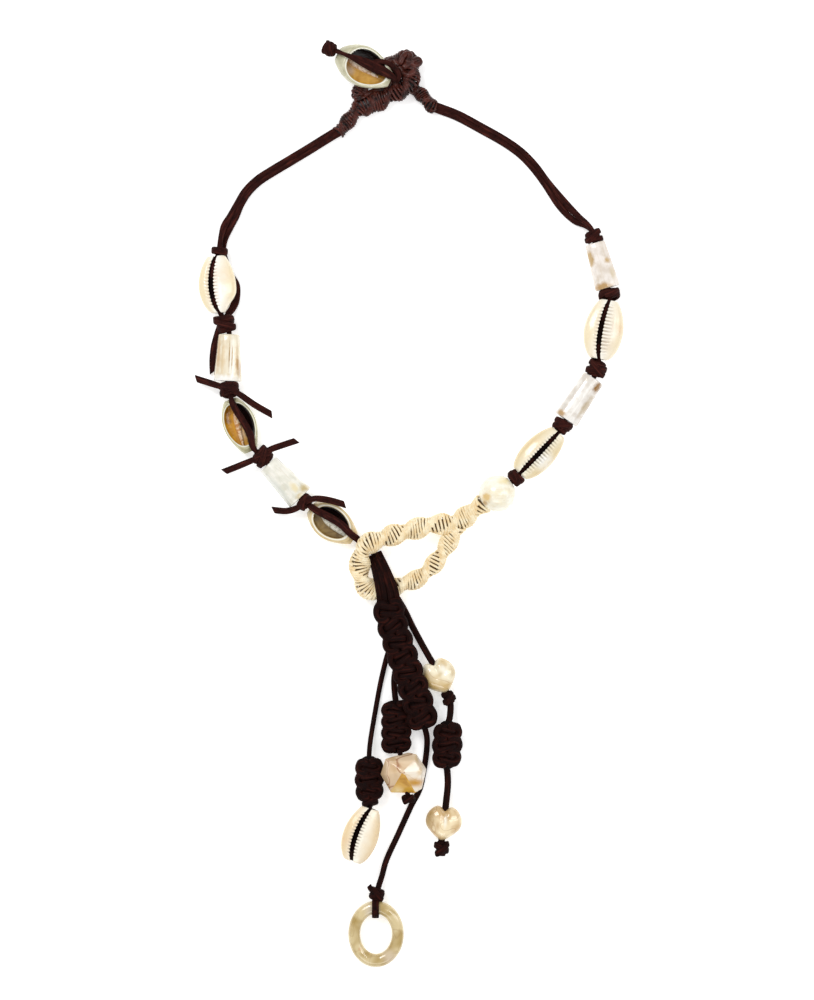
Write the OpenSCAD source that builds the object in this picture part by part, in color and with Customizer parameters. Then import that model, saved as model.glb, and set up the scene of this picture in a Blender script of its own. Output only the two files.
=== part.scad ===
// Shell tassel necklace lying flat. Millimetres, +Z up, table at z = 0.

/* [Laces] */
// Width of a neck lace
lace_w = 1.9; // [1.5:0.1:2.1]
// Thickness of a neck lace
lace_t = 1.5; // [1.2:0.1:1.6]
// Diameter of a tassel strand
strand_d = 2.0; // [1.6:0.1:2.1]
// Width of a cut lace tail
tail_w = 2.5; // [2:0.1:2.8]
// Thickness of a cut lace tail
tail_t = 1.3; // [1:0.1:1.5]

/* [Knots] */
// Bore of a neck knot, which holds one or two laces
knot_bore = 3.8; // [3.7:0.1:3.9]
// Bore of a tassel knot
small_bore = 2.5; // [2.4:0.1:2.6]
// Radius of the band that crosses a knot
band_r = 1.0; // [0.8:0.1:1.1]

/* [Shells] */
// Height of a whole cowrie
shell_h = 9.8; // [9.6:0.1:10.2]
// Wall of a shell
shell_wall = 1.1; // [0.9:0.1:1.2]
// Half of the slit between the teeth
slit_half = 0.8; // [0.6:0.1:1]
// Depth of the teeth along the slit
tooth = 0.35; // [0.1:0.05:0.4]
// Height at which the back of a cut cowrie is taken off
cut_h = 5.2; // [5:0.1:5.6]
// Wall of a cut cowrie
cut_wall = 0.8; // [0.7:0.05:1]

/* [Beads] */
// Bore of the tube beads
tube_bore = 3.8; // [3.6:0.1:4]
// Diameter of the round bead
round_d = 14; // [13:0.5:14]
// Thickness of the heart beads
heart_t = 7; // [6.5:0.1:7.5]
// Thickness of the oval ring
ring_t = 4.6; // [4:0.1:5]

/* [Corded pieces] */
// Width of the cream loop
cream_w = 7.0; // [6.4:0.1:7.2]
// Swell of the cords along a corded piece
swell = 0.8; // [0.4:0.1:0.9]
// Width of the clasp loop
clasp_w = 5.8; // [5.2:0.1:6]
// Width of the long braid
braid_w = 10.3; // [9.6:0.1:10.6]

/* [Hidden] */
$fn = 32;

// Shift that puts the middle of the box on the origin
mid_x = -0.73;
mid_y = 0.28;

// Brown of the laces, cream cord, shell, white beads and honey beads
dark = [0.2, 0.1, 0.09];
cream = [0.85, 0.77, 0.62];
ivory = [0.93, 0.87, 0.76];
pearl = [0.95, 0.93, 0.9];
honey = [0.86, 0.76, 0.58];

module placed() {
  translate([-mid_x, -mid_y, 0]) children();
}

// Smooth curve through points, n steps from one to the next
function cr(a, b, c, d, t) =
  0.5 * (2 * b + (c - a) * t + (2 * a - 5 * b + 4 * c - d) * t * t
  + (3 * b - a - 3 * c + d) * t * t * t);
function curve(p, n) = [
  for (i = [0 : len(p) - 2])
    for (j = [0 : n - 1])
      cr(p[max(i - 1, 0)], p[i], p[i + 1], p[min(i + 2, len(p) - 1)], j / n),
  p[len(p) - 1]];
function ring_curve(p, n) = let(m = len(p)) [
  for (i = [0 : m - 1])
    for (j = [0 : n - 1])
      cr(p[(i + m - 1) % m], p[i], p[(i + 1) % m], p[(i + 2) % m], j / n)];

// Unit directions along and beside a path
function unit(v) = v / norm(v);
function ahead(p, i, shut) = let(m = len(p))
  shut ? unit(p[(i + 1) % m] - p[(i + m - 1) % m])
       : unit(p[min(i + 1, m - 1)] - p[max(i - 1, 0)]);
function beside(t) = unit(cross(t, [0, 0, 1]));

// Unit sections: round with n sides, and a row of k round cords
function round_sec(n) = [for (j = [0 : n - 1]) [cos(360 * (j + 0.5) / n), sin(360 * (j + 0.5) / n)]];
function row_sec(k) = concat(
  [for (c = [k - 1 : -1 : 0], a = [30 : 60 : 150])
    [(2 * c + 1 - k + cos(a)) / k, sin(a)]],
  [for (c = [0 : k - 1], a = [210 : 60 : 330])
    [(2 * c + 1 - k + cos(a)) / k, sin(a)]]);

// Lists of widths: steady, or swelling once in each pitch of the path
function steady(p, w) = [for (q = p) w];
function swelling(p, w, s, turns) = [
  for (i = [0 : len(p) - 1]) w + s * cos(360 * turns * i / (len(p) - 1))];
function thick(ws, f) = [for (w = ws) w * f];

// Swept body: path of points, unit section, width and height at each point
module sweep(path, sec, ws, hs, shut = false) {
  n = len(sec);
  m = len(path);
  pts = [for (i = [0 : m - 1]) let(t = ahead(path, i, shut), s = beside(t), u = cross(s, t))
    for (q = sec) path[i] + s * q[0] * ws[i] / 2 + u * q[1] * hs[i] / 2];
  last = shut ? m - 1 : m - 2;
  sides = [for (i = [0 : last], j = [0 : n - 1])
    let(a = i * n + j, b = i * n + (j + 1) % n,
        c = ((i + 1) % m) * n + (j + 1) % n, d = ((i + 1) % m) * n + j)
    each [[a, b, c], [a, c, d]]];
  ends = shut ? [] : [[for (j = [n - 1 : -1 : 0]) j], [for (j = [0 : n - 1]) (m - 1) * n + j]];
  polyhedron(points = pts, faces = concat(sides, ends), convexity = 8);
}

// Lace or strand along a few points: x, y, height and, where it changes, a part of the width
function place_of(p) = [for (q = p) [q[0], q[1], q[2]]];
function four(p) = [for (q = p) [q[0], q[1], q[2], len(q) > 3 ? q[3] : 1]];
module lace(p, w, t, n = 3) {
  c = curve(four(p), n);
  sweep(place_of(c), round_sec(6), [for (q = c) w * q[3]], steady(c, t));
}

// Puts local +Z along the line from a to b, with the middle at its middle
module along(a, b) {
  v = b - a;
  translate((a + b) / 2)
    rotate([0, 90 - atan2(v[2], norm([v[0], v[1]])), atan2(v[1], v[0])])
      children();
}

// Round body along Z with a bore: half profile from a list of [height part, radius part]
module turned(length, d, bore, shape) {
  rotate_extrude()
    polygon(concat(
      [[bore / 2, -length / 2]],
      [for (s = shape) [s[1] * d / 2, s[0] * length / 2]],
      [[bore / 2, length / 2]]));
}

// Height part and radius part of a knot, and of a barrel knot with k turns
knot_shape = [[-1, 0.78], [-0.7, 0.94], [-0.3, 1], [0.3, 1], [0.7, 0.94], [1, 0.78]];
function barrel_shape(k) = concat(
  [[-1, 0.62]],
  [for (i = [0 : k - 1]) let(z = -0.86 + 1.72 * (i + 0.5) / k, q = 1 - 0.16 * z * z)
    each [[z - 0.55 / k, 0.9 * q], [z - 0.2 / k, q], [z + 0.2 / k, q], [z + 0.55 / k, 0.9 * q]]],
  [[1, 0.62]]);

// Cut lace end that leaves a knot
module tail(p) {
  c = curve(p, 3);
  m = len(c);
  sweep(c, round_sec(6), [for (i = [0 : m - 1]) i == m - 1 ? tail_w * 0.5 : tail_w],
    steady(c, tail_t));
}

// Knot around a lace, between points a and b, with a leaning band and up to two tails
module knot(a, b, d, bore, lean = 0, tails = []) {
  color(dark) union() {
    along(a, b) turned(norm(b - a), d, bore, knot_shape);
    if (lean != 0)
      along(a, b) rotate([lean, 0, 0])
        rotate_extrude() translate([d / 2 - 0.5, 0]) circle(r = band_r, $fn = 20);
    for (t = tails) tail(t);
  }
}

// Cowrie with its slit up: x along, z up. Fullness runs from 0 at the ends to 1 at the middle.
function full(t, e) = pow(max(sin(180 * pow(t, 0.9)), 0), e);
function soft(v, e) = sign(v) * pow(abs(v), e);
// One C of the section: half-width a, centre height c, heights up and down, half-gap g, shift of the slit
function c_loop(a, c, up, down, g, k, off) =
  let(a0 = asin(pow(g / a, 1 / 0.85)))
  [for (j = [0 : k - 1]) let(q = a0 + (360 - 2 * a0) * j / (k - 1))
    [a * soft(sin(q), 0.85) + off * max(cos(q), 0),
     c + (cos(q) > 0 ? up : down) * soft(cos(q), 0.8)]];
module cowrie_body(long, wide, high, end_half, drop, rise, off = 0, wall = shell_wall, e = 0.7,
    k = 11, n = 14) {
  st = [for (i = [0 : n]) let(t = (1 - cos(180 * i / n)) / 2, s = full(t, e))
    let(top = high - drop * (1 - s), low = rise * (1 - s), c = low + 0.6 * (top - low),
        a = end_half + (wide / 2 - end_half) * s, g = slit_half + tooth * (i % 2))
    [(t - 0.5) * long,
     c_loop(a, c, top - c, c - low, g, k, off * s),
     c_loop(a - wall, c, top - c - 0.8 - 0.7 * s, c - low - wall, g, k, off * s)]];
  pts = [for (v = st) each concat(
    [for (q = v[1]) [v[0], q[0], q[1]]],
    [for (j = [k - 1 : -1 : 0]) [v[0], v[2][j][0], v[2][j][1]]])];
  w = 2 * k;
  sides = [for (i = [0 : n - 1], j = [0 : w - 1])
    let(a = i * w + j, b = i * w + (j + 1) % w, c = b + w, d = a + w)
    each [[a, b, c], [a, c, d]]];
  ends = [for (j = [0 : k - 2])
    each [[j, w - 1 - j, w - 2 - j], [j, w - 2 - j, j + 1],
          [n * w + j, n * w + w - 2 - j, n * w + w - 1 - j],
          [n * w + j, n * w + j + 1, n * w + w - 2 - j]]];
  polyhedron(points = pts, faces = concat(sides, ends), convexity = 10);
}
// Whole cowrie, slit up, at c with its length along the heading and its slit off to the left
module cowrie(c, long, wide, heading, off = 0) {
  color(ivory) translate(c) rotate([0, 0, heading])
    cowrie_body(long, wide, shell_h, 3.1, 2.0, 3.0, off);
}
// Cut cowrie: slit down, the back taken off at a height, lean in degrees towards its far end
module cut_cowrie(c, long, wide, heading, lean = 0, cut = cut_h) {
  color(ivory) translate(c) rotate([0, 0, heading]) difference() {
    translate([0, 0, 9]) rotate([180, 0, 0])
      cowrie_body(long, wide, 9, 2.4, 1.2, 4.2, 0, cut_wall, 0.85);
    translate([0, 0, cut]) rotate([0, lean, 0])
      translate([0, 0, 10]) cube([60, 40, 20], center = true);
  }
}

// Tube bead from a to b with its two diameters, slightly eased edges
module tube_bead(a, b, d1, d2) {
  h = norm(b - a);
  color(pearl) along(a, b) rotate_extrude()
    polygon([[tube_bore / 2, -h / 2], [d1 / 2 - 0.5, -h / 2], [d1 / 2, -h / 2 + 0.5],
      [d2 / 2, h / 2 - 0.5], [d2 / 2 - 0.5, h / 2], [tube_bore / 2, h / 2]]);
}

// Puffed heart, tip towards -y, with a bore along y: its outline t degrees from the cleft
function heart_reach(t) = 1 - 0.33 * exp(-pow(t / 16, 2)) - 0.12 * exp(-pow((t - 138) / 30, 2))
  + 0.05 * exp(-pow((180 - t) / 14, 2));
function heart_at(a) = heart_reach(min(a, 360 - a)) * [sin(a), cos(a)] / 2;
layers = [[-1, 0.6], [-0.72, 0.86], [-0.25, 1], [0.25, 1], [0.72, 0.86], [1, 0.6]];
module heart(c, wide, long, heading) {
  n = 28;
  m = len(layers);
  pts = [for (v = layers, j = [0 : n - 1]) let(q = heart_at(360 * (j + 0.5) / n))
    [q[0] * wide * v[1], q[1] * long * v[1], v[0] * heart_t / 2]];
  sides = [for (i = [0 : m - 2], j = [0 : n - 1])
    let(a = i * n + j, b = i * n + (j + 1) % n, e = b + n, d = a + n)
    each [[a, e, d], [a, b, e]]];
  color(honey) translate(c) rotate([0, 0, heading + 90]) difference() {
    polyhedron(points = pts, convexity = 6,
      faces = concat(sides, [[for (j = [n - 1 : -1 : 0]) j], [for (j = [0 : n - 1]) (m - 1) * n + j]]));
    rotate([90, 0, 0]) cylinder(d = small_bore, h = 40, center = true);
  }
}

// Paths: x, y, height. Left neck laces, middle line, from the clasp to where they part
left_neck = [[-27.1, 142.9, 2.2], [-31, 140.8, 1.2], [-38.3, 136.3, 0.9], [-45.6, 131.9, 0.9],
  [-52.8, 127.6, 0.9], [-58.3, 124, 0.9], [-62.7, 119.6, 0.9], [-65.6, 114.8, 0.9]];
left_on = [[-68.9, 110.6, 1.2], [-71.2, 106.6, 2.2], [-72.3, 102.1, 4.2], [-72.7, 98.3, 5.45],
  [-73.2, 95.4, 5.6], [-74.8, 91.6, 6.5], [-75.7, 87.9, 6.9], [-75.7, 83.9, 6.9],
  [-75.2, 80, 6.9], [-74.1, 76.5, 6.4], [-72.4, 73.3, 5.7], [-70.9, 70.4, 5.35], [-69.4, 66.8, 4.9], [-69.1, 64.4, 4.7],
  [-69.7, 47.8, 4.7], [-69.2, 45.8, 4.8], [-68.5, 42.4, 5.8], [-68.2, 40.6, 6.3, 1.1],
  [-67.8, 39.2, 6.5, 1.3], [-66.6, 36.6, 6.2, 1.4], [-63.4, 31.6, 5.0, 1.45], [-60.9, 26.6, 6.0, 1.45],
  [-60.3, 23.2, 6.5, 1.3], [-59.6, 21.7, 6.3, 1.1], [-58.6, 20.6, 6.0], [-56.8, 18.8, 5.2],
  [-53.9, 15.6, 4.7], [-42.2, 3.2, 4.7], [-40.6, 1.8, 5.3], [-39, 0.6, 6.2, 1.1],
  [-37.8, -0.35, 6.6, 1.3], [-36, -1.6, 6.3, 1.4], [-31, -4.3, 5.1, 1.5], [-26.6, -7, 5.4, 1.5],
  [-23.9, -9.6, 6.5, 1.45], [-22.4, -11, 6.6, 1.4], [-20.75, -12.2, 5.8, 1.4]];
left_in = [[-19.8, -13.1, 3.3, 1.3], [-17.6, -14.8, 1.5, 1.2], [-15.6, -16.6, 1.0, 1.2],
  [-14.0, -18.15, 1.1, 1.2]];
second_on = [[-66.6, 110.2, 0.9], [-69, 105.9, 0.9], [-70.8, 101.8, 0.9], [-71.4, 98, 0.9],
  [-70.6, 94.6, 0.9], [-68.4, 91.2, 0.9], [-67.2, 88, 0.9], [-66.2, 84, 0.9],
  [-66.6, 78.6, 0.9], [-67.8, 75.4, 1.4], [-69.1, 73.5, 2.5]];
// Right neck laces, middle line, and each on its own after they part
right_neck = [[8.55, 152.1, 2.1], [12, 151, 1.3], [18.2, 148.6, 0.9], [26.4, 144.2, 0.9],
  [35.6, 139, 0.9], [42, 134.4, 0.9], [47, 129.2, 0.9], [51.6, 123, 0.9]];
right_on = [[58.7, 115.7, 0.9], [63.8, 110.2, 2.2], [67, 107.2, 4.3], [68.9, 104.3, 5.4],
  [69.9, 101.2, 5.45], [70.3, 98.6, 4.7], [74.5, 83.6, 4.7], [75, 81.8, 4.9], [75.3, 78.4, 5.6],
  [73.8, 74.1, 6.5], [71.9, 67.1, 6.9], [71.2, 60.2, 6.5], [71.2, 55.4, 5.7], [70.4, 52.2, 5.1],
  [69.3, 48.6, 4.7], [58.9, 32.9, 4.7], [57.4, 30.2, 5.0], [55.9, 27.8, 5.6], [53.2, 25, 6.5],
  [48.6, 20.1, 7.0], [44, 15.3, 6.5], [41, 12, 5.8], [39.4, 10.4, 6.2], [37, 8, 6.8],
  [32.7, 4.75, 7.0], [28.6, 1.7, 7.0]];
right_second_on = [[56.6, 114.2, 0.9], [62, 108.8, 1.2], [66.6, 106.5, 2.3], [68.7, 104.5, 3.66],
  [69.6, 101.2, 3.66]];
// Moves a middle line sideways by s
function beside_line(p, s) = [for (i = [0 : len(p) - 1]) p[i] + s * beside(ahead(p, i, false))];
pair_half = lace_w / 2 + 0.18;

module lace_left() {
  color(dark) placed()
    lace(concat(beside_line(left_neck, pair_half), left_on, left_in), lace_w, lace_t);
}
module lace_left_second() {
  color(dark) placed()
    lace(concat(beside_line(left_neck, -pair_half), second_on), lace_w, lace_t);
}
module lace_right() {
  color(dark) placed()
    lace(concat(beside_line(right_neck, -pair_half), right_on), lace_w, lace_t);
}
module lace_right_second() {
  color(dark) placed()
    lace(concat(beside_line(right_neck, pair_half), right_second_on), lace_w, lace_t);
}

// Knots: each from the point where the lace comes in to the point where it leaves
module knot_l1() {
  placed() knot([-72.6, 98.2, 5.0], [-72.8, 95.5, 5.1], 6.3, knot_bore);
}
module knot_l2() {
  placed() knot([-71.5, 72.2, 4.8], [-69.6, 66.4, 4.6], 8, knot_bore, 16,
    [[[-72.3, 69.6, 2.6], [-73.6, 66, 1.8], [-75, 61, 1.0], [-75.6, 56, 0.9], [-75.5, 51, 0.9]]]);
}
module knot_l3() {
  placed() knot([-69.3, 46.2, 5.0], [-68.6, 42.2, 5.9], 7.6, knot_bore, 10,
    [[[-69.6, 44.6, 7.6], [-73, 45.6, 7.2], [-77, 46.9, 5.4], [-81.6, 48.4, 3.4]],
     [[-68, 44.2, 7.8], [-64.5, 42, 8.8], [-59, 38.2, 8.4], [-53, 34.8, 5.6]]]);
}
module knot_l4() {
  placed() knot([-58.4, 20.6, 5.9], [-55, 16.9, 4.9], 7.6, knot_bore, 12,
    [[[-57.2, 19.6, 7.8], [-53.4, 21.4, 7.0], [-48.6, 23.2, 5.0], [-43.6, 24.9, 3.2]],
     [[-57.8, 18.4, 7.8], [-61, 17, 7.0], [-66, 15, 4.6], [-71, 13.1, 2.6]]]);
}
module knot_l5() {
  placed() knot([-41.3, 2.2, 4.9], [-39, 0.5, 5.9], 6.6, knot_bore, 0,
    [[[-40, 1.6, 7.4], [-36.4, 2.8, 8.6], [-31, 2.2, 9.0], [-25, 0.5, 8.4]],
     [[-40.4, 1.2, 7.4], [-43.6, -0.9, 6.0], [-47.6, -1.9, 3.8], [-52.4, -1.5, 2.4]]]);
}
module knot_r1() {
  placed() knot([68.8, 104.5, 4.6], [69.75, 100.4, 4.6], 6.6, knot_bore);
}
module knot_r2() {
  placed() knot([75.1, 81.95, 4.8], [75.4, 79.15, 5.3], 7.8, knot_bore, 6);
}
module knot_r3() {
  placed() knot([71.2, 55, 5.4], [69.8, 49.7, 4.8], 7.6, knot_bore, 14);
}
module knot_r4() {
  placed() knot([58.4, 32.1, 4.8], [56.4, 28.7, 5.3], 7.4, knot_bore, 9);
}
module knot_r5() {
  placed() knot([40.6, 11.7, 5.9], [38.45, 9.4, 6.5], 6.6, knot_bore);
}

// Cowries: centre, length, width and heading
module cowrie_l1() {
  placed() cowrie([-73.2, 84.1, 0], 21.6, 13.6, 94, 2.6);
}
module cowrie_l2() {
  placed() cut_cowrie([-64.9, 30.6, 0], 21.3, 12.6, -68.7);
}
module cowrie_l3() {
  placed() cut_cowrie([-29.9, -6.6, 0], 20.4, 13.6, -36);
}
module cowrie_r1() {
  placed() cowrie([73.3, 66.9, 0], 22.6, 14.9, 80, 1.5);
}
module cowrie_r2() {
  placed() cowrie([48.6, 20.1, 0], 21.4, 12.6, 46.6);
}

// Tube beads: two ends of the axis and the two diameters
module tube_l1() {
  placed() tube_bead([-69.1, 65.2, 4.7], [-69.7, 47.4, 4.7], 6.8, 9);
}
module tube_l2() {
  placed() tube_bead([-54.2, 15.9, 4.7], [-42, 3.1, 4.7], 6.9, 9);
}
module tube_r1() {
  placed() tube_bead([69.9, 99.9, 4.7], [74.8, 82.8, 4.7], 7.3, 8.2);
}
module tube_r2() {
  placed() tube_bead([69.3, 48.5, 4.7], [58.8, 32.8, 4.7], 6.5, 8);
}
module round_bead() {
  color(pearl) placed() along([27.9, 1.15, 7], [37.5, 8.35, 7]) difference() {
    sphere(d = round_d, $fn = 48);
    cylinder(d = knot_bore, h = 30, center = true);
  }
}

// Cream loop: a closed ring of cord and a neck that runs to the round bead
cream_ring = [[16.4, -9.4, 3.8], [11.4, -7.2, 3.8], [6, -7.4, 3.8], [0.5, -9.1, 3.8],
  [-5, -10.4, 4.2], [-10.6, -12.2, 5.6], [-15.4, -13.9, 6.7], [-18.3, -16.7, 6.5],
  [-19.3, -20.8, 5.0], [-19.3, -25.2, 4.0], [-17.9, -29.8, 3.8], [-13.8, -32.6, 3.8],
  [-9, -31.9, 3.8], [-3.4, -29.7, 3.8], [1.6, -28.1, 3.8], [6.4, -24.7, 3.8],
  [10.4, -20, 3.8], [14, -14.4, 3.8]];
cream_neck = [[26.7, 0.3, 6.4], [24.2, -1.5, 5.4], [21, -4, 4.4], [17.8, -6.6, 3.9], [15, -8.6, 3.8]];
module cream_loop() {
  c = ring_curve(cream_ring, 3);
  ws = [for (i = [0 : len(c) - 1]) let(u = i / len(c))
    (cream_w + swell * cos(360 * 18 * u)) * (0.91 + 0.09 * cos(360 * (u - 0.36)))];
  d = curve(cream_neck, 4);
  vs = swelling(d, cream_w * 0.86, swell * 0.5, 3);
  color(cream) placed() union() {
    sweep(c, round_sec(8), ws, thick(ws, 0.88), true);
    sweep(d, round_sec(8), vs, thick(vs, 0.9));
  }
}

// Clasp: brown corded loop with its neck, sleeve, toggle shell, folded lace and knot
clasp_ring = [[-19.4, 151.6, 2.7], [-14.6, 153.4, 2.7], [-9.5, 155.8, 3.0], [-4.4, 157.6, 4.2],
  [-0.6, 160.4, 5.2], [0.1, 164.4, 4.6], [0.1, 168.2, 3.6], [-2, 170.2, 3.0],
  [-5.4, 169.4, 2.7], [-9.4, 167.4, 2.6], [-13.6, 165, 2.6], [-17.2, 161.6, 2.6],
  [-19.8, 156.8, 2.6]];
clasp_neck = [[-26.2, 143.9, 2.6], [-25, 145.2, 2.7], [-23, 147.6, 2.7], [-20.4, 150.4, 2.7]];
module clasp_loop() {
  c = ring_curve(clasp_ring, 3);
  ws = [for (i = [0 : len(c) - 1]) clasp_w + swell * 0.6 * cos(360 * 13 * i / len(c))];
  d = curve(clasp_neck, 4);
  vs = swelling(d, clasp_w * 0.86, swell * 0.5, 2);
  color(dark) placed() union() {
    sweep(c, round_sec(8), ws, thick(ws, 0.8), true);
    sweep(d, round_sec(8), vs, thick(vs, 0.85));
  }
}
module clasp_sleeve() {
  c = curve([[1.8, 158.3, 2.1], [3.5, 157, 2.5], [5.4, 155, 2.6], [7.3, 152.8, 2.6]], 4);
  ws = swelling(c, clasp_w * 0.72, swell * 0.5, 3);
  color(dark) placed() sweep(c, round_sec(8), ws, thick(ws, 0.86));
}
toggle_path = [[-29.2, 172.4, 10.3], [-27.8, 171.8, 11.6], [-25.6, 170.7, 13.2, 1.1],
  [-22.6, 169.5, 13.2, 1.6], [-19, 168.1, 12.3, 2.0], [-14, 165.9, 11.4, 2.2],
  [-9.9, 164, 11.2, 1.8], [-7.8, 162.7, 10.9, 1.4], [-6.6, 161.9, 10.0], [-5.8, 161.7, 8.0],
  [-5.4, 161.9, 5.0], [-4.7, 161.9, 2.4], [-3, 161.6, 1.1], [-1.2, 160.6, 0.9],
  [-0.2, 159.9, 0.9], [1, 159.1, 1.2]];
module toggle_cord() {
  color(dark) placed() lace(toggle_path, lace_w, lace_t);
}
module toggle_shell() {
  placed() cut_cowrie([-17.8, 166.3, 5.0], 22.6, 15.5, -27, 8, cut_h + 0.8);
}
module toggle_knot() {
  placed() knot([-32.9, 173.7, 8.8], [-28.7, 172.3, 10.2], 5.6, small_bore + 0.4);
}

// Tassel: head of laces over the lower leg of the loop
module tassel_head() {
  c = curve([[-13.8, -18.6, 1.5], [-12.9, -20.6, 3.0], [-12, -22.8, 5.5], [-10.8, -26.2, 8.0], [-9.6, -30, 8.9],
    [-8.8, -33.4, 8.7], [-8.5, -35.8, 8.2]], 2);
  m = len(c) - 1;
  color(dark) placed() sweep(c, row_sec(4), [for (i = [0 : m]) 4.6 + 3.8 * i / m],
    steady(c, 2.2));
}

// Braids: width swells once for each knot
module braid(p, w, h, knots) {
  c = curve(p, 6);
  ws = swelling(c, w, swell * 0.8, knots);
  color(dark) sweep(c, round_sec(10), ws, thick(ws, h / w));
}
module braid_long() {
  placed() braid([[-8.4, -36.6, 8.0], [-8.2, -41, 8.2], [-6, -48.3, 8.3], [-4, -54.6, 8.2],
    [-1.3, -62.8, 8.0], [1.7, -71.4, 7.0], [4.1, -80, 6.0], [4.7, -83.2, 5.8]], braid_w, 4.8, 8);
}
module braid_short() {
  placed() braid([[-5.6, -75.4, 3.2], [-5.6, -80, 3.2], [-5.6, -86, 3.2], [-5.6, -92.6, 3.6]],
    braid_w * 0.97, 5.2, 4);
}

// Tassel strands: x, y, height
ring_strand = [[5.2, -84.1, 5.4], [6.1, -88.5, 3.4], [5.8, -94.7, 1.3], [4.6, -102.2, 1.15],
  [3.2, -108.2, 1.15], [-0.1, -114.6, 1.15], [-4.6, -124.5, 1.15], [-9.2, -134.5, 1.3],
  [-11, -140.6, 2.6], [-12.4, -145, 4.0], [-13, -148, 4.2]];
left_strand = [[-5.4, -46.6, 4.6], [-7, -51, 3.6], [-8.9, -56.4, 2.0], [-10.6, -63, 1.15],
  [-12.2, -70.5, 1.15], [-14.6, -84, 1.5], [-15.7, -91.5, 3.6], [-15.9, -97.4, 5.1],
  [-15.7, -110, 5.1], [-15.4, -113.6, 5.4], [-17.3, -117.7, 6.5], [-20.5, -124.2, 6.9],
  [-22, -130.8, 6.6]];
short_strand = [[-4.3, -56.5, 4.5], [-5.5, -60.5, 3.0], [-6.4, -66, 1.8], [-6.2, -71, 2.0],
  [-5.7, -75, 2.8]];
right_strand = [[-5.2, -35, 5.2], [-3.4, -38, 4.7], [-1.9, -40.8, 3.8], [0.6, -46, 2.2], [4, -52.4, 1.7],
  [6.5, -56.8, 2.9], [8.4, -60.1, 3.7], [10.6, -64.8, 3.7], [12.7, -69.2, 3.7],
  [13.7, -71.2, 3.7], [15, -75.1, 3.6], [14.8, -80, 4.5], [14, -84, 5.2], [13.5, -97.4, 5.2],
  [13.8, -101, 4.4], [14, -106, 3.7], [13.2, -114, 3.7], [12.3, -121, 3.7], [11.6, -127.6, 3.6],
  [11.4, -132.4, 3.5]];
module strand_ring() {
  color(dark) placed() lace(ring_strand, strand_d, strand_d);
}
module strand_left() {
  color(dark) placed() lace(left_strand, strand_d * 0.9, strand_d * 0.8);
}
module strand_short() {
  color(dark) placed() lace(short_strand, strand_d, strand_d * 0.9);
}
module strand_right() {
  color(dark) placed() lace(right_strand, strand_d, strand_d * 0.9);
}

// Barrel knots, small knots and the pieces they hold
module barrel_left() {
  color(dark) placed() along([-15.9, -96.9, 5.1], [-15.7, -110.4, 5.1])
    turned(13.5, 9.5, small_bore, barrel_shape(4));
}
module barrel_right() {
  color(dark) placed() along([14, -83.6, 5.2], [13.5, -97.8, 5.2])
    turned(14.4, 10.2, small_bore, barrel_shape(4));
}
module knot_left() {
  placed() knot([-15.7, -110.85, 5.2], [-15.45, -113.4, 5.4], 5.4, small_bore);
}
module cowrie_tassel() {
  placed() cowrie([-18.8, -124.8, 0], 21.2, 13.2, 71, 2.1);
}
module heart_upper() {
  placed() heart([10.5, -64.5, 3.7], 12.7, 13, 295);
}
module knot_heart() {
  placed() knot([13.55, -70.8, 3.7], [15.05, -75.1, 3.6], 5.2, small_bore);
}
module heart_lower() {
  placed() heart([12.4, -120.2, 3.7], 14, 13.6, 263);
}
module knot_end() {
  placed() knot([11.8, -127.45, 3.6], [11.3, -133, 3.5], 5.6, small_bore);
}
module bead_thread() {
  color(dark) placed() lace([[-4.3, -92.7, 7.5], [-3.6, -97, 7.6], [-2.8, -101.3, 7.6],
    [-1.9, -106, 7.6], [-1.3, -109.3, 7.35], [-0.9, -111.6, 7.0]], strand_d, strand_d * 0.9);
}
// Rings of the faceted bead: place along its bore, part of the width, and turn of the ring
bead_rings = [[-8, 0.42, 0], [-4.5, 0.95, 0], [4, 1, 30], [8, 0.5, 0]];
module faceted_bead() {
  n = 6;
  m = len(bead_rings);
  pts = [for (v = bead_rings, j = [0 : n - 1]) let(a = 360 * j / n + v[2])
    [6.8 * v[1] * cos(a), 8.6 * v[1] * sin(a), v[0]]];
  sides = [for (i = [0 : m - 2], j = [0 : n - 1])
    let(a = i * n + j, b = i * n + (j + 1) % n, e = b + n, d = a + n)
    each (bead_rings[i + 1][2] < bead_rings[i][2] ? [[a, e, b], [a, d, e]] : [[a, d, b], [b, d, e]])];
  color(honey) placed() along([-2.3, -104, 7.6], [-3.3, -98.6, 7.6]) difference() {
    polyhedron(points = pts, convexity = 4,
      faces = concat(sides, [[for (j = [0 : n - 1]) j], [for (j = [n - 1 : -1 : 0]) (m - 1) * n + j]]));
    cylinder(d = small_bore + 0.6, h = 40, center = true);
  }
}
module knot_bead() {
  placed() knot([-1.2, -109.8, 7.3], [-0.8, -112.1, 6.9], 5, small_bore);
}
// Oval ring, its knot and the fold of lace over its top
module ring() {
  c = [for (i = [0 : 23]) let(a = 360 * i / 24)
    [-13.3 + 8.3 * cos(a), -162.8 + 10.2 * sin(a), 3.25 + 0.75 * sin(a)]];
  ws = [for (i = [0 : 23]) 4.6 + 0.5 * pow(sin(360 * i / 24), 2)];
  color(honey) placed() sweep(c, round_sec(10), ws, steady(c, ring_t), true);
}
module knot_ring() {
  color(dark) placed() union() {
    along([-12.6, -145.4, 4.1], [-13.3, -149.4, 4.3]) turned(4.1, 6, small_bore, knot_shape);
    translate([-13.5, -152.8, 4.1]) rotate([0, 90, 0])
      rotate_extrude() translate([2.95, -1.3]) square([1, 2.6]);
  }
}

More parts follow.
